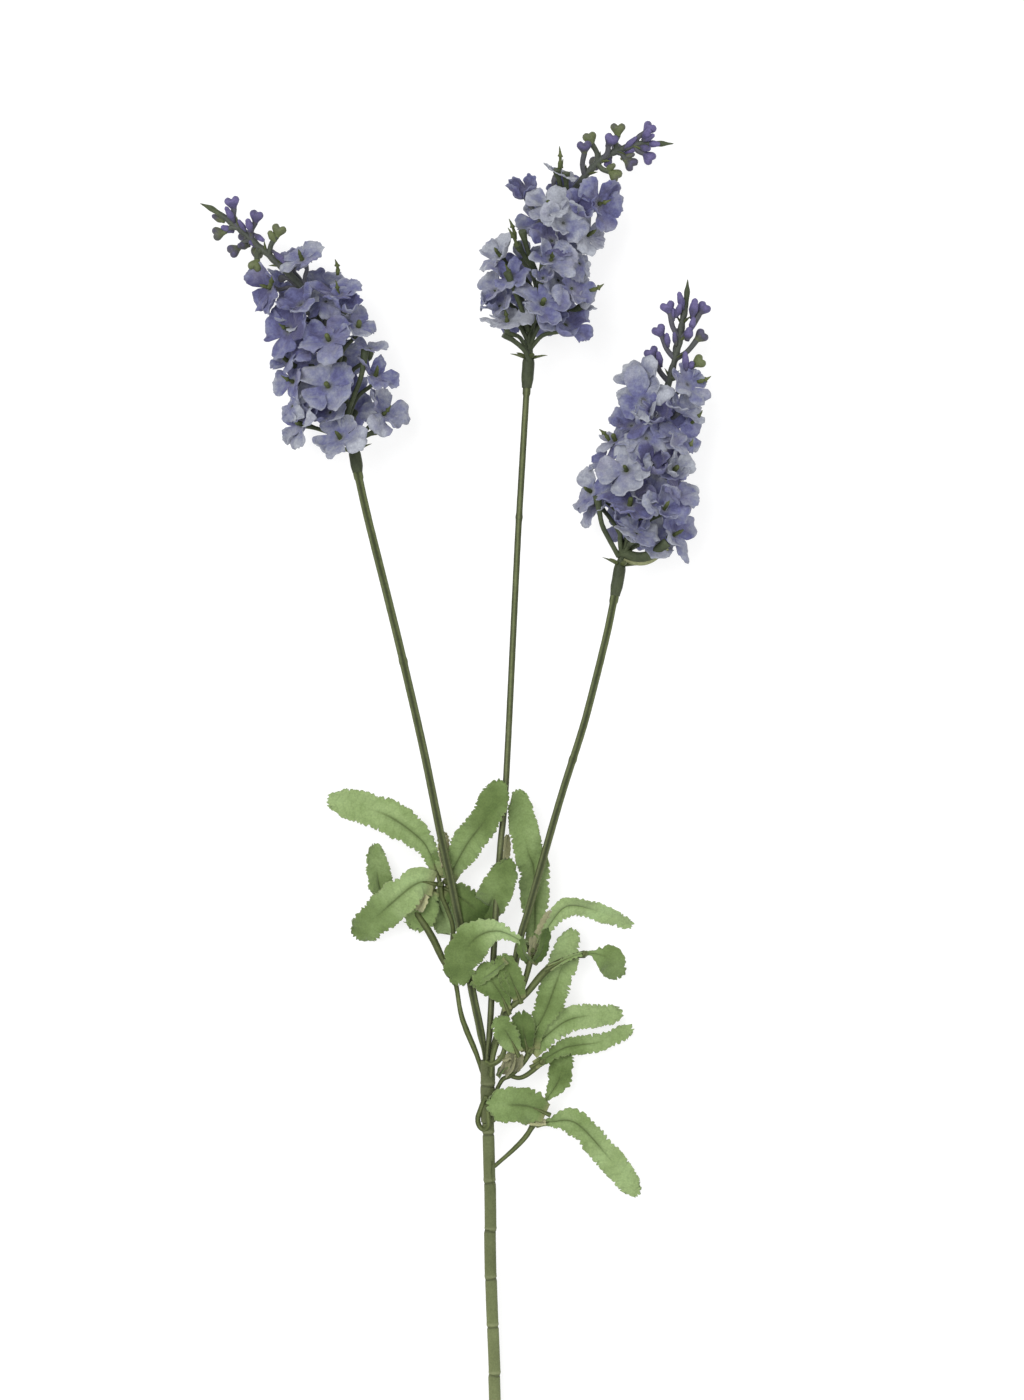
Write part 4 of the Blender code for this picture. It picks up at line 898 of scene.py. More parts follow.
PETAL = petal_material()
LEAF = leaf_material("leaf_print")
LEAF_BACK = leaf_material("leaf_backing", back=True)
STEM_GREEN = moulded_material("stem_plastic", (0.046, 0.058, 0.02), (0.115, 0.135, 0.056), lines=0.8)
PALE_STEM_GREEN = moulded_material("pale_stem_plastic", (0.068, 0.08, 0.032), (0.16, 0.185, 0.08),
                                   lines=0.7)
TWIG_GREEN = moulded_material("twig_plastic", (0.068, 0.086, 0.026), (0.155, 0.186, 0.07), lines=0.4)
SPIKE_GREEN = moulded_material("spike_plastic", (0.05, 0.063, 0.033), (0.12, 0.144, 0.07),
                               violet=(0.085, 0.082, 0.105))
PIN_GREEN = moulded_material("pin_plastic", (0.062, 0.078, 0.026), (0.19, 0.215, 0.085))
SLEEVE = sleeve_material()
BUD = bud_material()
WIRE = wire_material()

# ------------------------------------------------------------------ growing pieces with nodes

def grow_tree(name, inputs):
    """An empty Geometry Nodes tree with named inputs after the geometry."""
    return open_tree(name, "GeometryNodeTree", (("Geometry", "Geometry", None), *inputs),
                     (("Geometry", "Geometry"),))


def read(tree, name, kind="FLOAT"):
    return put(tree, "GeometryNodeInputNamedAttribute", "Attribute", data_type=kind, Name=name)


def store(tree, geometry, name, value, kind="FLOAT"):
    return put(tree, "GeometryNodeStoreNamedAttribute", "Geometry", data_type=kind, Geometry=geometry,
               Name=name, Value=value)


def shift(tree, geometry, offset):
    return put(tree, "GeometryNodeSetPosition", "Geometry", Geometry=geometry, Offset=offset)


def close_tree(tree, geometry, material, result):
    """Every tree's end: real meshes, shaded smooth, with the material given."""
    real = put(tree, "GeometryNodeRealizeInstances", "Geometry", Geometry=geometry)
    smooth = put(tree, "GeometryNodeSetShadeSmooth", "Geometry", Geometry=real)
    finished = put(tree, "GeometryNodeSetMaterial", "Geometry", Geometry=smooth, Material=material)
    connect(finished, result["Geometry"])


def rod_profile(tree, sides, ridge):
    """A round profile with three soft ridges, keeping its place as the attribute section."""
    circle = put(tree, "GeometryNodeCurvePrimitiveCircle", "Curve", Radius=1.0, Resolution=sides)
    where = put(tree, "GeometryNodeInputPosition", 0)
    angle = where.part("Y").calc("ARCTAN2", where.part("X"))
    lobes = angle.scaled(3.0, 0.7).calc("COSINE")
    profile = store(tree, circle, "section", where, "FLOAT_VECTOR")
    return shift(tree, profile, where.times(lobes * ridge))


def swept(tree, source):
    """Tubes along every chain of edges, as thick as the chain's radius attribute."""
    chain = put(tree, "GeometryNodeMeshToCurve", "Curve", Mesh=source["Geometry"])
    upright = put(tree, "GeometryNodeSetCurveNormal", "Curve", mode="Z_UP", Curve=chain)
    length = put(tree, "GeometryNodeSplineParameter", "Length")
    curve = store(tree, upright, "along", length.calc("DIVIDE", MM))
    return put(tree, "GeometryNodeCurveToMesh", "Mesh", Curve=curve, Scale=read(tree, "radius"),
               Profile_Curve=rod_profile(tree, source["Sides"], source["Ridge"]), Fill_Caps=True)


def uneven_offset(tree, scale, amount):
    """Offset along the normal by smooth noise; scale is per metre."""
    cloud = put(tree, "ShaderNodeTexNoise", "Fac", Scale=scale, Detail=2.0,
                Vector=put(tree, "GeometryNodeInputPosition", 0))
    return put(tree, "GeometryNodeInputNormal", 0).times((cloud - 0.5) * amount)


def make_rod_tree():
    """Moulded rods: swept, ridged and a little uneven."""
    tree, source, result = grow_tree("moulded_rods", (
        ("Sides", "Int", 10), ("Ridge", "Float", 0.05), ("Unevenness", "Float", 0.0002),
        ("Material", "Material", None)))
    mesh = shift(tree, swept(tree, source), uneven_offset(tree, 420.0, source["Unevenness"]))
    close_tree(tree, mesh, source["Material"], result)
    return tree


def make_setting_tree():
    """Set a collection's forms out on points, each turned and sized, none below the floor."""
    tree, source, result = grow_tree("set_out_forms", (
        ("Forms", "Collection", None), ("Floor", "Float", 0.0003), ("Material", "Material", None)))
    forms = put(tree, "GeometryNodeCollectionInfo", "Instances", Collection=source["Forms"],
                Separate_Children=True, Reset_Children=True)
    turn = put(tree, "FunctionNodeEulerToRotation", "Rotation", Euler=read(tree, "turn", "FLOAT_VECTOR"))
    seated = put(tree, "GeometryNodeInstanceOnPoints", "Instances", Points=source["Geometry"],
                 Instance=forms, Pick_Instance=True, Instance_Index=read(tree, "form", "INT"),
                 Rotation=turn, Scale=read(tree, "size", "FLOAT_VECTOR"))
    real = put(tree, "GeometryNodeRealizeInstances", "Geometry", Geometry=seated)
    height = put(tree, "GeometryNodeInputPosition", 0).part("Z")
    sunk = (source["Floor"] - height).calc("MAXIMUM", 0.0)
    lift = put(tree, "ShaderNodeCombineXYZ", "Vector", Z=sunk)
    close_tree(tree, shift(tree, real, lift), source["Material"], result)
    return tree


ROD_TREE = make_rod_tree()
SETTING_TREE = make_setting_tree()

# ------------------------------------------------------------------ meshes and pieces

def link(item):
    bpy.context.scene.collection.objects.link(item)
    return item


def keep(item, slot, *nodes):
    """Ride with the spray and stand for the nodes; the slot is not used."""
    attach(item, "root")
    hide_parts(*nodes)
    return item


def add_grid(work, rows, reverse=False, slot=0):
    """Faces between neighbouring rows of points."""
    for here, following in zip(rows, rows[1:]):
        for step in range(len(here) - 1):
            corners = here[step], here[step + 1], following[step + 1], following[step]
            face = work.faces.new(corners[::-1] if reverse else corners)
            face.material_index = slot


def as_mesh(name, work):
    """The mesh of a finished bmesh."""
    mesh = bpy.data.meshes.new(name)
    work.to_mesh(mesh)
    work.free()
    return mesh


def plain_mesh(item):
    """The mesh of an object with its modifiers applied."""
    evaluated = item.evaluated_get(bpy.context.evaluated_depsgraph_get())
    return bpy.data.meshes.new_from_object(evaluated)


def give_wall(item, thickness):
    """Give an open sheet its cloth's thickness, centred on the sheet."""
    wall = item.modifiers.new("cloth", "SOLIDIFY")
    wall.thickness = thickness * MM
    wall.offset = 0.0
    return wall


def grow(name, seed_mesh, tree, **inputs):
    """Run a tree on a seed mesh and keep the plain mesh that it makes."""
    item = link(bpy.data.objects.new(name, seed_mesh))
    modifier = item.modifiers.new("grow", "NODES")
    modifier.node_group = tree
    for slot in tree.interface.items_tree:
        label = slot.name.replace(" ", "_")
        if slot.in_out == "INPUT" and label in inputs:
            modifier[slot.identifier] = inputs[label]
    mesh = plain_mesh(item)
    item.modifiers.remove(modifier)
    item.data = mesh
    bpy.data.meshes.remove(seed_mesh)
    mesh.name = name
    return item


def set_values(mesh, name, values, kind="FLOAT"):
    """Write one value for each point as a named attribute."""
    data = mesh.attributes.new(name, kind, "POINT").data
    if kind == "FLOAT_VECTOR":
        data.foreach_set("vector", [part for value in values for part in value])
    else:
        data.foreach_set("value", values)


def rods(name, runs, material, sides, ridge=0.05, uneven=0.0002):
    """Rods along runs of (point, radius, tint), in the tables' millimetres."""
    mesh = bpy.data.meshes.new(name)
    edges, start = [], 0
    for run in runs:
        edges += [(start + step, start + step + 1) for step in range(len(run) - 1)]
        start += len(run)
    knots = [knot for run in runs for knot in run]
    mesh.from_pydata([place(point) for point, _, _ in knots], edges, [])
    set_values(mesh, "radius", [radius * MM for _, radius, _ in knots])
    set_values(mesh, "tint", [tint for _, _, tint in knots])
    return grow(name, mesh, ROD_TREE, Sides=sides, Ridge=ridge, Unevenness=uneven, Material=material)


def set_out(name, forms, places, material):
    """Forms on points; each place is (point, rotation, form, size, tone), in millimetres."""
    mesh = bpy.data.meshes.new(name)
    mesh.from_pydata([place(item[0]) for item in places], [], [])
    set_values(mesh, "turn", [tuple(item[1].to_euler()) for item in places], "FLOAT_VECTOR")
    set_values(mesh, "form", [item[2] for item in places], "INT")
    set_values(mesh, "size", [tuple(item[3]) for item in places], "FLOAT_VECTOR")
    set_values(mesh, "tone", [item[4] for item in places])
    return grow(name, mesh, SETTING_TREE, Forms=forms, Material=material)


def form_collection(name, meshes):
    collection = bpy.data.collections.new(name)
    for number, mesh in enumerate(meshes):
        collection.objects.link(bpy.data.objects.new(f"{name}_{number:02d}", mesh))
    return collection


def drop_collection(collection):
    for item in list(collection.objects):
        bpy.data.objects.remove(item, do_unlink=True)
    bpy.data.collections.remove(collection)

# ------------------------------------------------------------------ florets

def petal_bend(rise, curl, flat_to, reach):
    """Distance out and height of a petal's midline at even steps along it."""
    track = [(0.0, 0.0, 0.0)]
    step = 1.35 * reach / BEND_STEPS
    out, height = 0.0, 0.0
    for number in range(1, BEND_STEPS + 1):
        gone = number * step
        lean = math.radians(rise) * smooth_step((gone - flat_to * 0.6) / (flat_to * 1.1))
        lean += math.radians(curl) * smooth_step((gone - reach * 0.45) / (reach * 0.6))
        out, height = out + step * math.cos(lean), height + step * math.sin(lean)
        track.append((out, height, lean))
    return track, step


def pinked(angle, seed):
    """Frayed uneven notches along a cut edge, from 0 to about 1."""
    saw = abs((angle * 5.1 + seed) % 1.0 - 0.5)
    drift = waver(angle * 6.0, seed * 3.7, 0.5)
    fray = waver(angle * 27.0, seed * 1.9, 8.5)
    return 0.5 * saw + 1.3 * drift + 1.0 * fray


class Petal:
    """One petal of a die-cut floret, with a bend, cup, fold, sway and tone of its own."""

    def __init__(self, form, number, seed):
        self.count, self.reach, self.slit, self.ruffle, petals = form
        rise, curl, self.twist, self.length = petals[number]
        self.number, self.seed = number, seed
        self.flat_to = FLAT_SHARE * self.reach
        self.sway = PETAL_SWAY * math.sin(seed * 3.1 + number * 2.1)
        self.track, self.step = petal_bend(rise, curl, self.flat_to, self.reach)
        self.tone = min(waver(seed * 1.7, number * 2.3, 4.1) * 1.8, 0.6)
        self.cup = CUP + CUP_RANGE * waver(seed * 2.9, number * 1.7, 2.2)
        self.fold = FOLD_RANGE * waver(seed * 2.1, number * 3.3, 6.2)
        self.pointed = smooth_step(waver(seed * 4.7, number * 5.1, 3.3) * 3)

    def rim(self, across):
        """Where the cloth ends: blunt or pointed, frayed, and slit between the petals."""
        blunt, sharp = max(1 - abs(across) ** 3.4, 0.0) ** 0.42, 1.22 * (1 - abs(across)) ** 0.85
        rim = self.slit + (1 - self.slit) * (blunt + (sharp - blunt) * self.pointed)
        rim *= self.reach * (1 + (self.length - 1) * (1 - across * across))
        notch = pinked(math.tau * (self.number + across / 2) / self.count + self.number, self.seed)
        return rim - NOTCH_DEPTH * notch * (1 - abs(across) ** 8)

    def lift(self, flat, gone, share, angle, lateral, free):
        """How far a point stands off the petal's smooth bend."""
        crumple = noise.noise(flat * 0.2 + Vector((self.seed * 5, self.number * 4.0, self.seed)))
        fine = noise.noise(flat * 0.55 + Vector((0, self.seed * 3, 7.0)))
        frill = waver(angle * 4.5, gone * 0.1, self.seed + 3.0)
        lift = self.ruffle * (CRUMPLE * crumple * free + FRILL * frill * share ** 3) + FINE * fine * share
        lift += free * (math.tan(math.radians(self.twist)) + 0.05) * lateral
        lift += free * (self.cup * lateral + self.fold * math.tanh(lateral * 0.8)) * lateral * 0.6
        lift -= THROAT_DIP * bell(gone, 1.5)
        return lift - MIDLINE_DIP * bell(lateral, 0.5) * math.sin(math.pi * min(share * 1.2, 1.0))

    def point(self, across, share, rim):
        """A point's place, its place on the flat cloth, and its distance along the cloth."""
        gone = THROAT + (rim - THROAT) * share
        low = min(int(gone / self.step), len(self.track) - 2)
        part = gone / self.step - low
        out, height, lean = (a + (b - a) * part for a, b in zip(self.track[low], self.track[low + 1]))
        free = smooth_step((gone - self.flat_to) / (self.reach * 0.5))
        # the petals' own middles sway, and their edges meet half way between them at the throat
        angle = math.tau * (self.number + across / 2 * (1 + PETAL_OVERLAP * free)) / self.count
        angle += self.sway * (1 - abs(across) * (1 - free))
        lateral = math.sin(across * math.pi / self.count) * gone
        flat = Vector((math.cos(angle) * gone, math.sin(angle) * gone, 0.0))
        lift = self.lift(flat, gone, share, angle, lateral, free)
        spread = out - lift * math.sin(lean)
        bent = Vector((spread * math.cos(angle), spread * math.sin(angle), height + lift * math.cos(lean)))
        return bent, flat, gone


def floret_mesh(name, form, seed):
    """One die-cut floret: overlapping petals, bent, curled, folded and crumpled, round a throat."""
    work = bmesh.new()
    layers = {key: work.verts.layers.float.new(key) for key in ("reach", "petal_tone")}
    cloth = work.verts.layers.float_vector.new("cloth")
    for number in range(form[0]):
        petal = Petal(form, number, seed)
        grid = []
        for column in range(PETAL_COLUMNS + 1):
            across = -1 + 2 * column / PETAL_COLUMNS
            rim = petal.rim(across)
            line = []
            for row in range(PETAL_ROWS + 1):
                bent, flat, gone = petal.point(across, row / PETAL_ROWS, rim)
                vert = work.verts.new(bent * MM)
                vert[layers["reach"]] = gone / petal.reach
                vert[layers["petal_tone"]] = petal.tone * smooth_step(gone / petal.flat_to - 0.4)
                vert[cloth] = flat
                line.append(vert)
            grid.append(line)
        add_grid(work, grid)
    bmesh.ops.remove_doubles(work, verts=work.verts, dist=0.05 * MM)
    bmesh.ops.recalc_face_normals(work, faces=work.faces)
    sheet = as_mesh(name + "_sheet", work)
    item = link(bpy.data.objects.new(name, sheet))
    give_wall(item, PETAL_SHEET)
    solid = plain_mesh(item)
    bpy.data.objects.remove(item, do_unlink=True)
    bpy.data.meshes.remove(sheet)
    solid.name = name
    return solid


def ring_at(side, along):
    """Radius of the ring of florets at a place along the spike."""
    rows = WHORLS[side]
    if along <= rows[0][0]:
        return rows[0][1]
    for (start, near, _), (end, far, _) in zip(rows, rows[1:]):
        if along <= end:
            return near + (far - near) * (along - start) / (end - start)
    return max(rows[-1][1] - 0.12 * (along - rows[-1][0]), 6.0)


def floret_seats(side):
    """Every floret of a spike: whorl number, hub, facing, outward direction and its looks."""
    route = Route(RACHIS_ROUTES[side])
    rows = WHORLS[side]
    stops = [step * 0.5 for step in range(int(route.length * 2))]
    made = []

    def seat(along, angle, ring, hub, tilt, looks, pinned=True):
        _, forward, across, up = frame_at(route, along)
        out = up * math.cos(angle) + across * math.sin(angle)
        lean = angle * FACE_LEAN if abs(angle) < math.radians(95) else angle
        face = up * math.cos(lean) + across * math.sin(lean)
        facing = (face * math.cos(tilt) + forward * math.sin(tilt)).normalized()
        whorl = min(range(len(rows)), key=lambda number: abs(rows[number][0] - along))
        form, turn, size, tone = looks
        made.append({"whorl": whorl, "along": along, "ring": ring, "out": out, "facing": facing,
                     "hub": hub or route.at(along) + out * ring, "form": form, "pinned": pinned,
                     "turn": math.radians(turn), "size": size * FLORET_SPREAD, "tone": tone})

    for number, (x, y, form, turn, size, tone, tilt) in enumerate(FRONT_FLORETS[side]):
        spot = Vector((x, y, 0.0))
        along = min(stops, key=lambda stop: (route.at(stop).xy - spot.xy).length)
        centre, _, across, _ = frame_at(route, along)
        sideways = (spot - centre).dot(across)
        ring = max(ring_at(side, along), abs(sideways) * 1.03)
        angle = math.asin(sideways / ring)
        spot.z = centre.z + ring * math.cos(angle)
        nearer = (CAMERA_AT.z - spot.z) / (CAMERA_AT.z - SIGHT_LEVEL)
        hub = Vector((*(CAMERA_AT.xy + (spot.xy - CAMERA_AT.xy) * nearer), spot.z))
        seat(along, angle, ring, hub, math.radians(tilt), (form, turn, size, tone),
             number not in HIDDEN_PINS[side])
    for whorl, (along, ring, behind) in enumerate(rows):
        shrink = 0.75 if whorl == len(rows) - 1 else 1.0
        along += FIRST_ROW_SHIFT if whorl == 0 else 0.0
        for number, (degrees, tone) in enumerate(behind):
            looks = ((whorl * 3 + number * 2) % len(FLORET_FORMS), (whorl * 77 + number * 131) % 360,
                     BACK_SIZE * shrink, tone)
            seat(along, math.radians(degrees), ring * BACK_RING * shrink, None, WHORL_TILT, looks)
    for number, (gap, degrees) in enumerate(INNER_FLORETS[side]):
        (start, near, _), (end, far, _) = rows[gap:gap + 2]
        looks = ((number * 5 + 1) % len(FLORET_FORMS), (number * 151) % 360, INNER_SIZE,
                 0.4 + 0.28 * math.sin(number * 2.3))
        seat((start + end) / 2, math.radians(degrees), (near + far) / 2 * INNER_RING, None, WHORL_TILT,
             looks, False)
    return route, made


def add_whorls(side, seats, forms):
    for whorl in range(len(WHORLS[side])):
        places = [(seat["hub"], turned(seat["facing"], seat["turn"]), seat["form"],
                   (seat["size"],) * 3, seat["tone"]) for seat in seats if seat["whorl"] == whorl]
        item = set_out(f"{side}_florets_{whorl + 1}", forms, places, PETAL)
        keep(item, "floret_fabric", f"{side}_whorl_{whorl + 1}")

# ------------------------------------------------------------------ spikes

def turned_mesh(name, profile, sides, shaped):
    """A turned form from (radius, height) pairs, whose points shaped() then moves."""
    work = bmesh.new()
    rings = []
    for radius, height in profile:
        ring = []
        for step in range(sides):
            angle = math.tau * step / sides
            point = Vector((radius * math.cos(angle), radius * math.sin(angle), height))
            ring.append(work.verts.new(shaped(point) * MM))
        rings.append(ring)
    add_grid(work, [ring + ring[:1] for ring in rings])
    work.faces.new(list(reversed(rings[0])))
    work.faces.new(rings[-1])
    reach = work.verts.layers.float.new("reach")
    top = profile[-1][1]
    for vert in work.verts:
        vert[reach] = vert.co.z / (top * MM)
    return as_mesh(name, work)


def pin_meshes():
    """The moulded pins that hold the florets: a knobbly spike with barbs."""
    plain = ((0.75, -2.2), (0.95, -0.6), (1.15, 0.2), (0.95, 1.0), (1.12, 1.5), (0.8, 2.3), (1.0, 2.9),
             (0.62, 3.7), (0.36, 4.5), (0.12, 4.9))
    tall = ((0.75, -2.2), (0.9, -0.6), (1.05, 0.3), (0.7, 1.2), (0.62, 2.4), (1.25, 2.7), (0.7, 3.5),
            (0.45, 4.6), (0.3, 5.5), (0.1, 6.2))
    blunt = ((0.75, -2.2), (1.0, -0.6), (1.3, 0.2), (1.25, 1.2), (1.35, 2.0), (1.05, 2.9), (0.5, 3.3),
             (0.15, 3.4))

    def bent(point):
        return Vector((point.x + 0.03 * point.z ** 2, point.y * (0.8 + 0.08 * point.z), point.z))

    return [turned_mesh(f"pin_{number}", profile, 10, bent)
            for number, profile in enumerate((plain, tall, blunt))]


def bud_mesh(name, split, girth):
    """A heart-shaped bud: a swelling on its stalk that parts into two lobes."""
    profile = ((0.95, -0.8), (1.05, 0.0), (1.3, 0.7), (1.75, 1.4), (2.15, 2.2), (2.35, 3.0), (2.3, 3.8),
               (1.95, 4.5), (1.25, 4.95), (0.5, 5.15), (0.1, 5.18))

    def lobed(point):
        spread = smooth_step((point.z - 1.0) / 2.2)
        across = point.x * (1 + 0.3 * split * spread)
        notch = 2.4 * split * spread * bell(across, 0.7)
        drop = notch * smooth_step((point.z - 2.8) / 2.0)
        return Vector((across, point.y * girth, point.z - drop))

    return turned_mesh(name, profile, 16, lobed)


def slender_bud_mesh(name):
    """A closed bud: a narrow drop, waisted below its tip and bent a little."""
    profile = ((0.66, -0.9), (0.7, 0.0), (0.9, 0.8), (1.22, 1.7), (1.3, 2.6), (1.1, 3.4), (0.84, 3.9),
               (0.78, 4.4), (0.58, 4.9), (0.26, 5.2), (0.1, SLENDER_LENGTH))

    def bent(point):
        return Vector((point.x * (1.0 + 0.12 * math.sin(point.z * 1.7)),
                       point.y * 0.8 + 0.03 * point.z ** 2, point.z))

    return turned_mesh(name, profile, 12, bent)


def bract_mesh(name):
    """A small pointed scale, hollow on its inner side."""
    profile = ((0.55, 0.0), (0.8, 0.8), (0.9, 1.8), (0.7, 3.0), (0.4, 4.0), (0.06, 4.8))

    def flat(point):
        return Vector((point.x, point.y * 0.4 + 0.05 * point.z ** 2, point.z))

    return turned_mesh(name, profile, 8, flat)


def flared(route, radius, cup, tint):
    """A branch that widens to a cup at its end."""
    count = 12
    return [(route.at(route.length * step / count),
             radius + (cup - radius) * smooth_step((step / count - CUP_START) / (1 - CUP_START)), tint)
            for step in range(count + 1)]


def branch_run(route, socket, seat):
    """A branch from the rachis to the flared cup under a floret."""
    root = max(seat["along"] - BRANCH_DROP, socket + 1.0)
    cup = seat["hub"] - seat["facing"] * CUP_SET
    neck = seat["hub"] - seat["facing"] * NECK_SET
    knots = Route([route.at(root), route.at((root + seat["along"]) / 2) + seat["out"] * seat["ring"] * 0.36,
                   neck, cup])
    tint = 0.8 * smooth_step((seat["along"] - 42) / 40)
    return flared(knots, BRANCH_RADIUS, CUP_RADIUS, tint)


def bud_places(side, route):
    """Stalk runs of a spike's buds, and the places of the buds and of the scales below them."""
    runs, buds = [], []
    for number, (along, end, tint) in enumerate(BUDS[side]):
        start, end = route.at(along), Vector(end)
        way = (end - start).normalized()
        bow = way.cross(Vector((0, 0, 1))).normalized() * (STALK_BOW if number % 2 else -STALK_BOW)
        seat = end - way * BUD_SEAT
        knots = Route([start, start.lerp(seat, 0.5) + bow, seat])
        runs.append([(knots.at(knots.length * step / 8), STALK_RADIUS - 0.12 * math.sin(math.pi * step / 8),
                      0.85 - 0.75 * tint) for step in range(9)])
        spin = 0.5 * math.sin(number * 2.4)
        buds.append((seat, turned(way, spin), number % 2, (1.08, 1.08, 0.95), tint))
    for foot, end, girth, tint in SLENDER_BUDS[side]:
        foot, end = Vector(foot), Vector(end)
        way = end - foot
        buds.append((foot, turned(way, 0.0), 2, (girth, girth, way.length / SLENDER_LENGTH), tint))
    return runs, buds


def spike_runs(side, route):
    """Socket, rachis and pointed tip of a spike as one run."""
    socket = SOCKET_LENGTH[side]
    tip = route.length - TIP_LENGTH
    run = []
    distance = 0.0
    while distance < route.length:
        tint = 0.35 * smooth_step((distance - 50) / 25)
        if distance < socket:
            share = distance / socket
            radius = SOCKET_RADIUS - 0.45 + 0.45 * smooth_step(share * 3)
            radius -= 0.25 * smooth_step((share - 0.85) / 0.15)
            tint = -0.55
        elif distance < tip:
            share = (distance - socket) / (tip - socket)
            radius = RACHIS_RADIUS - 0.2 * share + 0.35 * math.exp(-(distance - socket) / 2.0)
            radius += 0.16 * math.sin(distance * 1.15) * smooth_step((distance - 80) / 10)
        else:
            # a slender spear, paler than the rachis
            share = (distance - tip) / TIP_LENGTH
            radius = 1.15 * (1 - share) ** 0.5 + 0.42 * bell(share - 0.58, 0.17)
            tint = 0.3 - 0.3 * smooth_step(share * 3)
        run.append((route.at(distance), max(radius, 0.16), tint))
        distance += RACHIS_STEP
    run.append((route.at(route.length), 0.12, 0.0))
    return run


def bracts_round(route, along, count, radius, lean, size=0.9):
    """Sharp scales in a ring round the rachis."""
    centre, forward, across, up = frame_at(route, along)
    places = []
    for number in range(count):
        angle = math.tau * (number + 0.3) / count
        out = up * math.cos(angle) + across * math.sin(angle)
        way = (forward * math.cos(lean) + out * math.sin(lean)).normalized()
        places.append((centre + out * radius, turned(way, angle), 0, (size, size, size * 0.95), 0.9))
    return places


def add_spike(side, forms):
    route, seats = floret_seats(side)
    add_whorls(side, seats, forms["florets"])
    frame_node = side + "_spike_frame"
    runs = [spike_runs(side, route)] + [branch_run(route, SOCKET_LENGTH[side], seat) for seat in seats]
    thick = BENT_RADIUS if side == "right" else EXTRA_RADIUS
    for points in EXTRA_BRANCHES[side]:
        runs.append(flared(Route(points), thick, max(thick, 1.6), 0.0))
        thick = EXTRA_RADIUS
    if side == "right":
        # the bent branch at the spike's foot is paler underneath
        pale = Route([Vector(point) - Vector((0, 1.9, 1.6)) for point in EXTRA_BRANCHES[side][0]])
        runs.append(even(pale, 0.8, 1.3, 2.0, start=2.5))
    stalks, buds = bud_places(side, route)
    runs += stalks
    keep(rods(side + "_spike_branches", runs, SPIKE_GREEN, 10, 0.06), "spike_plastic", frame_node)
    pins = [(seat["hub"], turned(seat["facing"], seat["turn"]), number % 3, (0.8, 0.8, 0.9), 0.0)
            for number, seat in enumerate(seats) if seat["pinned"]]
    pins += [(Vector(pin[:3]), turned(Vector(pin[3:6]).normalized(), 0.4), 1, (0.9, 0.9, pin[6]), 0.0)
             for pin in EXTRA_PINS[side]]
    keep(set_out(side + "_pins", forms["pins"], pins, PIN_GREEN), "spike_plastic", frame_node)
    keep(set_out(side + "_buds", forms["buds"], buds, BUD), "spike_plastic", frame_node)
    scales = bracts_round(route, SOCKET_LENGTH[side] + 0.3, 6, 1.8, math.radians(62), 1.25)
    for along in range(86, 108, 7):
        scales += bracts_round(route, along, 2, 0.7, math.radians(30))
    keep(set_out(side + "_bracts", forms["bracts"], scales, PIN_GREEN), "spike_plastic", frame_node)

# ------------------------------------------------------------------ stems and twigs

def add_flower_stem(side):
    route = Route(STEM_ROUTES[side])
    full = STEM_RADII[side]
    joint, lines = STEM_JOINTS[side]

    def radius(distance):
        swell = smooth_step((distance - SWELL_START) / SWELL_LENGTH)
        ring = STEM_RING * bell(distance - joint, 0.9)
        collar = STEM_COLLAR * smooth_step((distance - route.length + 2.6) / 0.8)
        return TAIL_RADIUS + swell * (full - TAIL_RADIUS) + ring + collar

    run = even(route, 0.9, radius, lines)
    run.append((run[-1][0] + route.direction(route.length) * 1.2, run[-1][1] - 0.2, lines))
    material = PALE_STEM_GREEN if side == "middle" else STEM_GREEN
    keep(rods(side + "_stem", [run], material, 20, 0.09, 0.00014), "stem_plastic", side + "_flower_stem")


def add_main_stem():
    axis = Route([(x, y, SLEEVE_RADIUS + y * STEM_RISE) for x, y in STEM_ROUTE])

    def jointed(start, end, radius):
        """A run whose joints are nicked, with a flared lip; its segments stand a little apart."""
        run = []
        count = round((end - start) / 0.35)
        for step in range(count + 1):
            distance = start + (end - start) * step / count
            segment, inside = divmod(distance - JOINT_START, JOINT_SPACING)
            from_joint = inside if inside < JOINT_SPACING / 2 else inside - JOINT_SPACING
            nick = bell(from_joint, 0.45)
            lip = bell(from_joint - 1.0, 0.55)
            sway = Vector((SEGMENT_SWAY * math.sin(segment * 2.3), 0.0, 0.0))
            thick = radius + SLEEVE_SKIN - JOINT_NICK * nick + JOINT_LIP * lip
            point = axis.at(distance) + sway
            point.z = max(point.z, thick + SLEEVE_CLEARANCE)
            run.append((point, thick, lip - nick))
        return [run]

    keep(rods("stem_sleeve", jointed(0.0, SLEEVE_END, SLEEVE_RADIUS), SLEEVE, 36, 0.0, 0.0001),
         "sleeve_plastic", "main_stem_sleeve")
    keep(rods("junction_cover", jointed(SLEEVE_END + SLEEVE_GAP, JUNCTION_END, JUNCTION_RADIUS), SLEEVE,
              36, 0.02, 0.0003), "sleeve_plastic", "junction_sleeve")
    runs = [even(Route(BINDING_LOOP), 0.5, 1.02), even(Route(BINDING_STRAP), 0.6, 1.0, 0.3)]
    keep(rods("wire_loop", runs, TWIG_GREEN, 12), "stem_plastic", "bound_wire_end")
    glue = even(Route(GLUE_THREAD), 0.8, 0.2, 1.6)
    keep(rods("glue_threads", [glue], PIN_GREEN, 6), "stem_plastic", "bound_wire_end")
    bpy.data.objects["main_stem_wire"].material_slots[0].material = WIRE


def twig_of(leaf):
    return next(side for start, side in LEAF_TWIGS.items() if leaf.startswith(start))


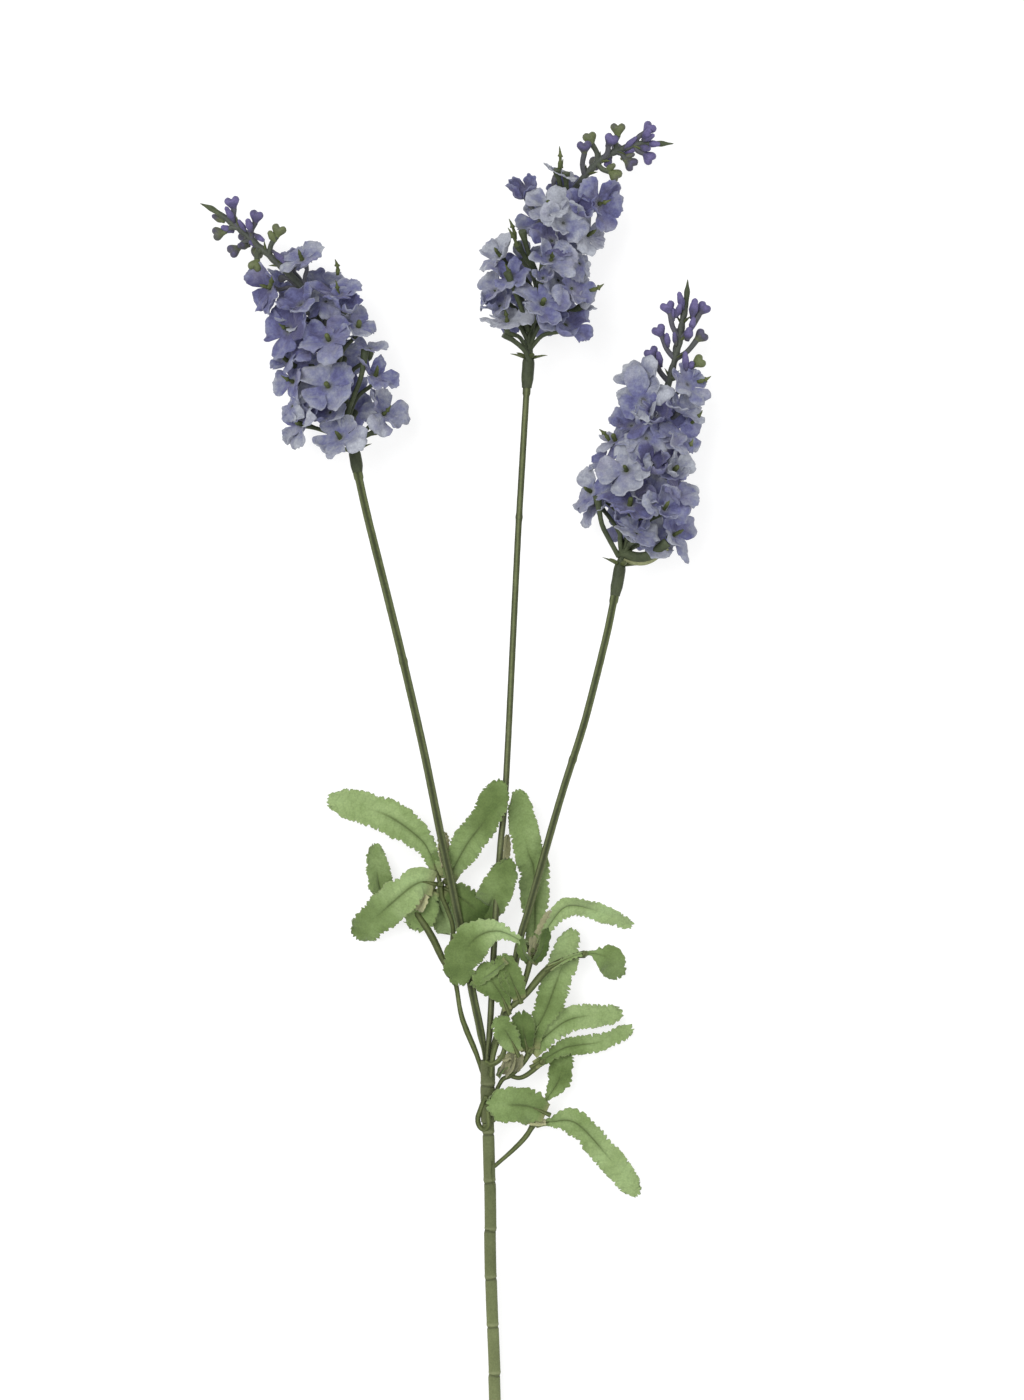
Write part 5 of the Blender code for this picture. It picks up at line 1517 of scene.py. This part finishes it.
def add_twig(side):
    """A forked twig with a stud at each end, and the stalks of its leaves."""
    runs = []
    for points, full in zip(TWIGS[side], TWIG_RADII[side]):
        route = Route(points)

        def radius(distance):
            knot = 0.3 * bell(route.length - distance, 1.6)
            return full - 0.12 * math.cos(distance * 0.21) + knot

        run = even(route, 0.8, radius)
        run.insert(0, (run[0][0] - route.direction(0.0) * 1.4, run[0][1], 0.0))
        runs.append(run)
        end = Vector(points[-1])
        stud = Route([end - Vector((0, 0, 0.8)), end + Vector((0, 0, 1.0)), end + Vector((0.2, 0.4, 2.6))])
        runs.append(even(stud, 0.5, lambda distance: 1.3 - 0.1 * distance, 0.45))
    for name, (points, _, _, _) in LEAVES.items():
        if twig_of(name) == side:
            leaf = Route(points)
            start = leaf.at(0.0) - leaf.direction(0.0) * 1.9
            stalk = Route([start, leaf.at(0.0), leaf.at(2.6) - Vector((0, 0, 0.3)),
                           leaf.at(5.2) - Vector((0, 0, 0.45))])
            runs.append(even(stalk, 0.6, lambda distance: 0.95 - 0.07 * distance, 0.2))
    keep(rods(side + "_twig", runs, TWIG_GREEN, 12, 0.07), "stem_plastic", side + "_leaf_twig")

# ------------------------------------------------------------------ leaves

def leaf_outline(share, start):
    """Half width of a leaf as a part of its widest, from its stalk to its blunt tip."""
    narrow, wait, widen = start
    rise = narrow + (1 - narrow) * smooth_step((share - wait) / widen)
    rise *= 1 - 0.2 * smooth_step((share - 0.6) / 0.38)
    into_tip = max(share - TIP_START, 0.0) / (1 - TIP_START)
    return rise * (1 - (1 - TIP_FLAT ** 2) * into_tip ** 2) ** 0.5


def leaf_ripple(distance, across, seed):
    """Long waves of a leaf's cloth with shorter ones over them."""
    ripple = waver(distance * 0.13, across * 0.8, seed) * RIPPLE
    return ripple + waver(distance * 0.45, across * 2.0, seed + 5.0) * FINE_RIPPLE


def tooth_depth(distance, seed):
    """Small pointed saw teeth that lean towards the tip, uneven as cut cloth is."""
    place_in = distance / TOOTH + 0.8 * waver(distance * 0.27, seed, 0.0)
    lean = (place_in % 1.0) ** 0.6
    size = 0.8 + 1.4 * waver(math.floor(place_in) * 3.3, seed, 9.0)
    fray = waver(distance * 2.1, seed, 4.0)
    return TOOTH_DEPTH * (max(size, 0.2) * abs(2 * lean - 1) ** 1.2 + 0.5 * fray)


def add_leaf_sheet(work, points, width, roll, tones, seed, start, turned_over=False):
    """A die-cut leaf: serrated, creased along its midrib and rippled; returns its length."""
    route = Route(points)
    count = max(24, round(route.length / LEAF_ROW))
    small = min(1.0, width / 7)   # a small leaf's teeth are shallower
    layers = {key: work.verts.layers.float[key] for key in ("across", "along", "tone")}
    cloth, veins = (work.verts.layers.float_vector[key] for key in ("cloth", "veins"))
    rows = []
    for step in range(count + 1):
        share = step / count
        distance = share * route.length
        middle, forward, side, up = frame_at(route, distance)
        turn = Matrix.Rotation(math.radians(roll), 3, forward)
        side, up = turn @ side, turn @ up
        half = width / 2 * leaf_outline(share, start) + 0.25
        crease = LEAF_CREASE * smooth_step((0.7 - share) / 0.2) * smooth_step(share / 0.1)
        row = []
        for across in LEAF_COLUMNS:
            edge = seed + (3.0 if across > 0 else 0.0)
            bite = tooth_depth(distance, edge) - half * 0.3 * waver(distance * 0.12, edge, 2.0)
            bite = min(bite * smooth_step(share * 6) * small, half * 0.45)
            reach = across * half - math.copysign(bite * smooth_step((abs(across) - 0.4) / 0.6), across)
            lift = abs(reach) * LEAF_FOLD - crease * bell(reach, 0.6)
            lift += leaf_ripple(distance, across, seed) * abs(across) ** 1.5 * min(1.0, half / 5)
            ragged = END_TOOTH * tooth_depth(reach * 1.5, seed + 7.0) * small + 0.1 * reach ** 2
            ragged *= smooth_step((share - RAGGED_START) / (1 - RAGGED_START))
            point = middle + side * reach + up * lift - forward * ragged
            point.z = max(point.z, LEAF_FLOOR)
            vert = work.verts.new(place(point))
            vert[layers["across"]] = across
            vert[layers["along"]] = share * (0.3 if turned_over else 1.0)
            vert[layers["tone"]] = tones[0] + (tones[1] - tones[0]) * smooth_step((share - 0.35) / 0.3)
            vert[cloth] = Vector((reach, distance, 0.0))
            vert[veins] = Vector((abs(reach), distance * 1.1 - abs(reach) * 0.4, 0.0))
            row.append(vert)
        rows.append(row)
    add_grid(work, rows, side.cross(forward).dot(up) <= 0, int(turned_over))
    return route.length


def add_leaf(name, points, width, roll, tones, seed):
    work = bmesh.new()
    for key in ("across", "along", "tone"):
        work.verts.layers.float.new(key)
    for key in ("cloth", "veins"):
        work.verts.layers.float_vector.new(key)
    length = add_leaf_sheet(work, points, width, roll, tones, seed, BLADE_STARTS.get(name, BLADE_START))
    for number, (route, scrap_width, tone, turned_over) in enumerate(SCRAPS.get(name, ())):
        add_leaf_sheet(work, route, scrap_width, 35 * (-1) ** number, (tone, tone), 50.0 + seed + number,
                       (0.7, 0.0, 0.4), turned_over)
    area = sum(face.calc_area() for face in work.faces)
    mesh = as_mesh(name + "_cloth", work)
    mesh.shade_smooth()
    # a turned-over bit of cloth has the backing in front and the print behind
    for material in (LEAF, LEAF_BACK, LEAF):
        mesh.materials.append(material)
    item = link(bpy.data.objects.new(name + "_cloth", mesh))
    wall = give_wall(item, LEAF_SHEET)
    wall.material_offset = 1
    wall.use_rim = True
    keep(item, "leaf_fabric", name)
    if width >= NARROWEST_SHEET:
        (width + CUT_ALLOWANCE) * MM
        twig_of(name) + "_twig"
        area * 0.97

# ------------------------------------------------------------------ the studio

def lamp(name, position, size, power):
    """A round soft light that faces the middle of the frame."""
    light = bpy.data.lights.new(name, "AREA")
    light.shape = "DISK"
    light.size = size
    light.energy = power
    item = link(bpy.data.objects.new(name, light))
    item.location = position
    item.rotation_euler = (-Vector(position)).to_track_quat("-Z", "Y").to_euler()


def studio():
    """Pale floor, wide soft lights and the camera looking straight down."""
    floor_material, tree, shader, where = new_material(
        "studio_floor", 0.9, Specular_IOR_Level=0.1, Emission_Strength=0.74, Emission_Color=(1, 1, 1, 1))
    patch, _ = mottled(tree, where, 3.0, 60.0)
    connect(mix(tree, patch, (0.3, 0.3, 0.3), (0.32, 0.32, 0.32)), shader["Base Color"])
    mesh = bpy.data.meshes.new("studio_floor")
    half = 4.0
    mesh.from_pydata([(-half, -half, 0), (half, -half, 0), (half, half, 0), (-half, half, 0)], [],
                     [(0, 1, 2, 3)])
    mesh.materials.append(floor_material)
    floor = link(bpy.data.objects.new("studio_floor", mesh))

    lamp("key_light", (-0.9, 0.6, 2.2), 1.6, 40.0)
    lamp("fill_light", (1.3, -0.6, 1.8), 1.8, 15.0)
    world = bpy.data.worlds.new("studio_air")
    world.use_nodes = True
    world.node_tree.nodes["Background"].inputs["Color"].default_value = (1.0, 1.0, 1.0, 1.0)
    world.node_tree.nodes["Background"].inputs["Strength"].default_value = 0.65
    bpy.context.scene.world = world

    camera = bpy.data.cameras.new("camera")
    camera.lens = 100.0
    camera.sensor_width = 36.0
    camera.clip_end = 20.0
    item = link(bpy.data.objects.new("camera", camera))
    item.location = place(CAMERA_AT)
    bpy.context.scene.camera = item
    bpy.context.scene.view_settings.view_transform = "Standard"


def main():
    studio()
    forms = {
        "florets": form_collection("floret_form", [
            floret_mesh(f"floret_form_{number:02d}", form, number * 1.37 + 0.5)
            for number, form in enumerate(FLORET_FORMS)]),
        "pins": form_collection("pin_form", pin_meshes()),
        "buds": form_collection("bud_form", [bud_mesh("bud_0", 0.5, 0.8), bud_mesh("bud_1", 0.34, 0.85),
                                             slender_bud_mesh("bud_2")]),
        "bracts": form_collection("bract_form", [bract_mesh("bract_0")]),
    }
    add_main_stem()
    for side in ("left", "middle", "right"):
        add_flower_stem(side)
        add_spike(side, forms)
    for side in TWIGS:
        add_twig(side)
    for seed, (name, (points, width, roll, tones)) in enumerate(LEAVES.items()):
        add_leaf(name, points, width, roll, tones, seed * 1.9)
    for collection in forms.values():
        drop_collection(collection)


main()
